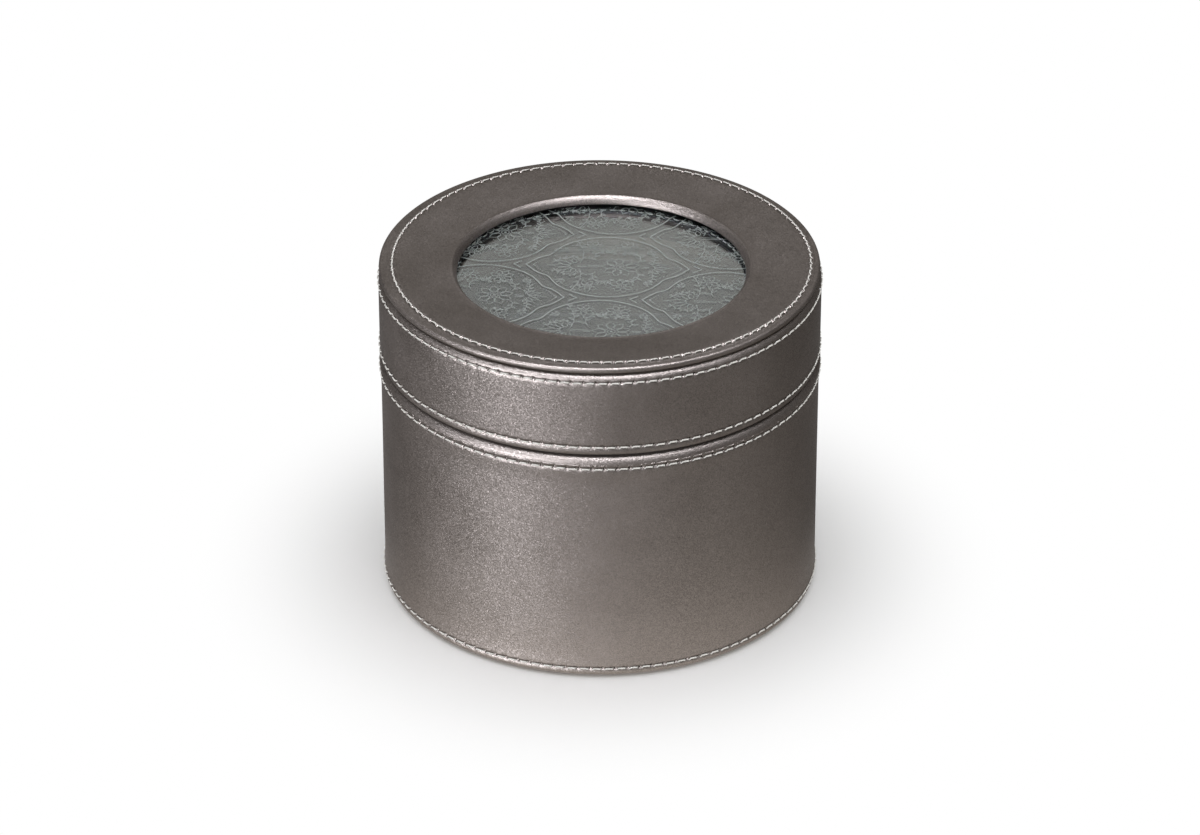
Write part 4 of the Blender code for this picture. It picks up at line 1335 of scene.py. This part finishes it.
def tab_piece(node, side):
    """A grosgrain ribbon folded over, glued inside the tray's wall, its loop standing over the rim."""
    ribbon = 0.5 * MM
    low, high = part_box(node)
    top = high[2]
    outer = high[0] if side > 0 else -low[0]
    bottom = top - TAB_LENGTH
    path = [
        (0, bottom, 0),
        (0, top, 1.0 * MM),
        (-TAB_FOLD, top, 1.0 * MM),
        (-TAB_FOLD, top - TAB_FOLD, 1.2 * MM),
        (-TAB_THICKNESS, top - 2 * TAB_FOLD, 1.2 * MM),
        (-TAB_THICKNESS, bottom, 0),
    ]
    outside = refined(rounded(path, 0.12 * MM), coarse=0.8 * MM)
    normals = outward_normals(outside)
    inside = [(p[0] - n[0] * ribbon, p[1] - n[1] * ribbon) for p, n in zip(outside, normals)]
    half = (high[1] - low[1]) / 2
    loop = 5 * MM
    stations = 24
    rings = []
    for index in range(stations + 1):
        share = 2 * index / stations - 1
        ripple = 0.05 * MM * math.sin(9 * share + side)
        ring = []
        for inward, up in outside + inside[::-1]:
            above = max(0.0, up - (top - loop)) / loop
            ring.append((side * (outer + inward + ripple * above * (1 - above)), half * share, up))
        rings.append(ring)
    lofted(f"{node}_ribbon", rings, "tray", "ribbon", node, 50)


def dress_tray():
    section = upright(TRAY_INNER, TRAY_RADIUS - 0.1 * MM, TRAY_Z, TRAY_TOP, 0.3, 0.5, 1.0, 1.0)
    spun("tray_wall_suede", "tray_wall", "tray", "suede", 36, section)
    plate = disc(TRAY_INNER - GLUE_GAP, TRAY_Z, TRAY_Z + TRAY_BASE, 0.3 * MM)
    lofted("tray_base_suede", plate, "tray", "suede", "tray_base", 50)
    for seed, place in enumerate(("front", "rear", "left", "right")):
        divider_piece(f"tray_divider_{place}", 50 + seed)
    dress_rolls()
    tab_piece("pull_tab_left", -1)
    tab_piece("pull_tab_right", 1)


# Hinge


def cross_depth(across, back):
    """How deep a cross recess is cut at this place on a screw's head."""
    reach, width = 0.78 * MM, 0.16 * MM
    deepest = 0.0
    for along, beside in ((abs(across), abs(back)), (abs(back), abs(across))):
        inside = min(1.0, max(0.0, (width - beside) / (0.08 * MM) + 0.5))
        tail = min(1.0, max(0.0, (reach - along) / (0.3 * MM)))
        deepest = max(deepest, inside * tail)
    return 0.38 * MM * deepest


def screw_piece(node, body, side):
    """A countersunk wood screw with a cross recess and a thread; side is 1 where its tip points up."""
    low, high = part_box(node)
    middle = ((low[0] + high[0]) / 2, (low[1] + high[1]) / 2)
    face = low[2] if side > 0 else high[2]
    around, head_rings, shank_rings = 48, 13, 64
    thread_pitch, thread_depth = 0.55 * MM, 0.13 * MM
    rings = []

    def ring(radius, depth, threaded=False):
        points = []
        for step in range(around):
            out = radius
            if threaded:
                phase = (depth / thread_pitch - step / around) % 1.0
                out += thread_depth * (1 - abs(2 * phase - 1)) ** 1.5
            across, back = from_here((0, 0), math.tau * step / around, out)
            sunk = cross_depth(across, back) if depth == 0.0 else depth
            points.append((middle[0] + across, middle[1] + back, face + side * sunk))
        rings.append(points)

    for step in range(1, head_rings + 1):
        ring(SCREW_HEAD_RADIUS * 0.965 * step / head_rings, 0.0)
    ring(SCREW_HEAD_RADIUS, 0.06 * MM)
    ring(SCREW_SHANK_RADIUS, SCREW_HEAD)
    core = SCREW_SHANK_RADIUS - thread_depth
    for step in range(1, shank_rings):
        depth = SCREW_HEAD + (SCREW_LENGTH - SCREW_HEAD - 0.02 * MM) * step / shank_rings
        left = (SCREW_LENGTH - depth) / SCREW_TIP
        ring(core * min(1.0, 0.25 + 0.75 * left), depth, threaded=left > 0.6)
    lofted(f"{node}_cross", rings, body, "hinge_metal", node, 40)


def dress_hinge():
    for place in ("left", "middle", "right"):
        screw_piece(f"base_screw_{place}", "base", -1)
        screw_piece(f"lid_screw_{place}", "lid", 1)
    for node in ("hinge_leaf_base", "hinge_leaf_lid"):
        eased = frame["nodes"][node].modifiers.new("eased_edges", "BEVEL")
        eased.width = 0.08 * MM
        eased.segments = 2
        eased.limit_method = "ANGLE"
        eased.angle_limit = math.radians(50)


# Build


def dress_outside():
    corners, inside, seams = base_corners(), base_inside(), ("base_high", "base_low")
    wrapped_cover("base_leather", "base_wall_cover", "base", 11, corners, inside, seams, BASE_NOTCH)
    corners, seams = lid_corners(), ("lid_high", "lid_low")
    inside = shifted(corners, LEATHER)
    wrapped_cover("lid_leather", "lid_wall_cover", "lid", 12, corners, inside, seams, LID_NOTCH)
    corners, inside = ring_corners(), ring_inside()
    bend = {"shift": ring_shift, "pleats": window_pleats}
    wrapped_cover("top_ring_leather", "top_ring_cover", "lid", 13, corners, inside, ("top_ring",), **bend)
    inner, outer = CREASE_RADIUS + 2.6 * MM, TOP_RING_RADIUS - 1.1 * MM
    spun("top_ring_core", "top_ring_board", "lid", "board", 14, [
        (inner, RING_BOTTOM, 0),
        (outer, RING_BOTTOM, 0),
        (outer, RING_TOP - 1.45 * MM, 0.2 * MM),
        (inner, RING_BOTTOM + 0.1 * MM, 0),
    ], 0.005 * MM)
    stitch_ring("base_high", "base", 21)
    stitch_ring("base_low", "base", 22)
    stitch_ring("lid_low", "lid", 23)
    stitch_ring("lid_high", "lid", 24)
    stitch_ring("top_ring", "lid", 25, 0.225 * MM, 0.15 * MM, RING_SHIFT, 0.6 * MM)


def finish_nodes():
    """Gives each CAD node that still shows the material of its slot."""
    for row in frame["record"]["subparts"]:
        node = frame["nodes"][row["node"]]
        node.data.materials.clear()
        node.data.materials.append(FINISHES[row["material_slot"]])
        node.data.shade_smooth()
        node.data.set_sharp_from_angle(angle=math.radians(35))


def build():
    make_camera()
    make_world()
    make_floor()
    make_lamps()
    bpy.context.scene.view_settings.view_transform = "Standard"
    FINISHES.update(
        leatherette=leatherette(),
        thread=thread_material(),
        suede=suede_material(),
        felt=felt_material(),
        ribbon=ribbon_material(),
        board=board_material(),
        hinge_metal=metal_material(),
        window_glass=glass_material(),
        glass_print=print_material(),
    )
    finish_nodes()
    dress_outside()
    dress_window()
    dress_linings()
    dress_floor_pad()
    dress_tray()
    dress_hinge()


build()
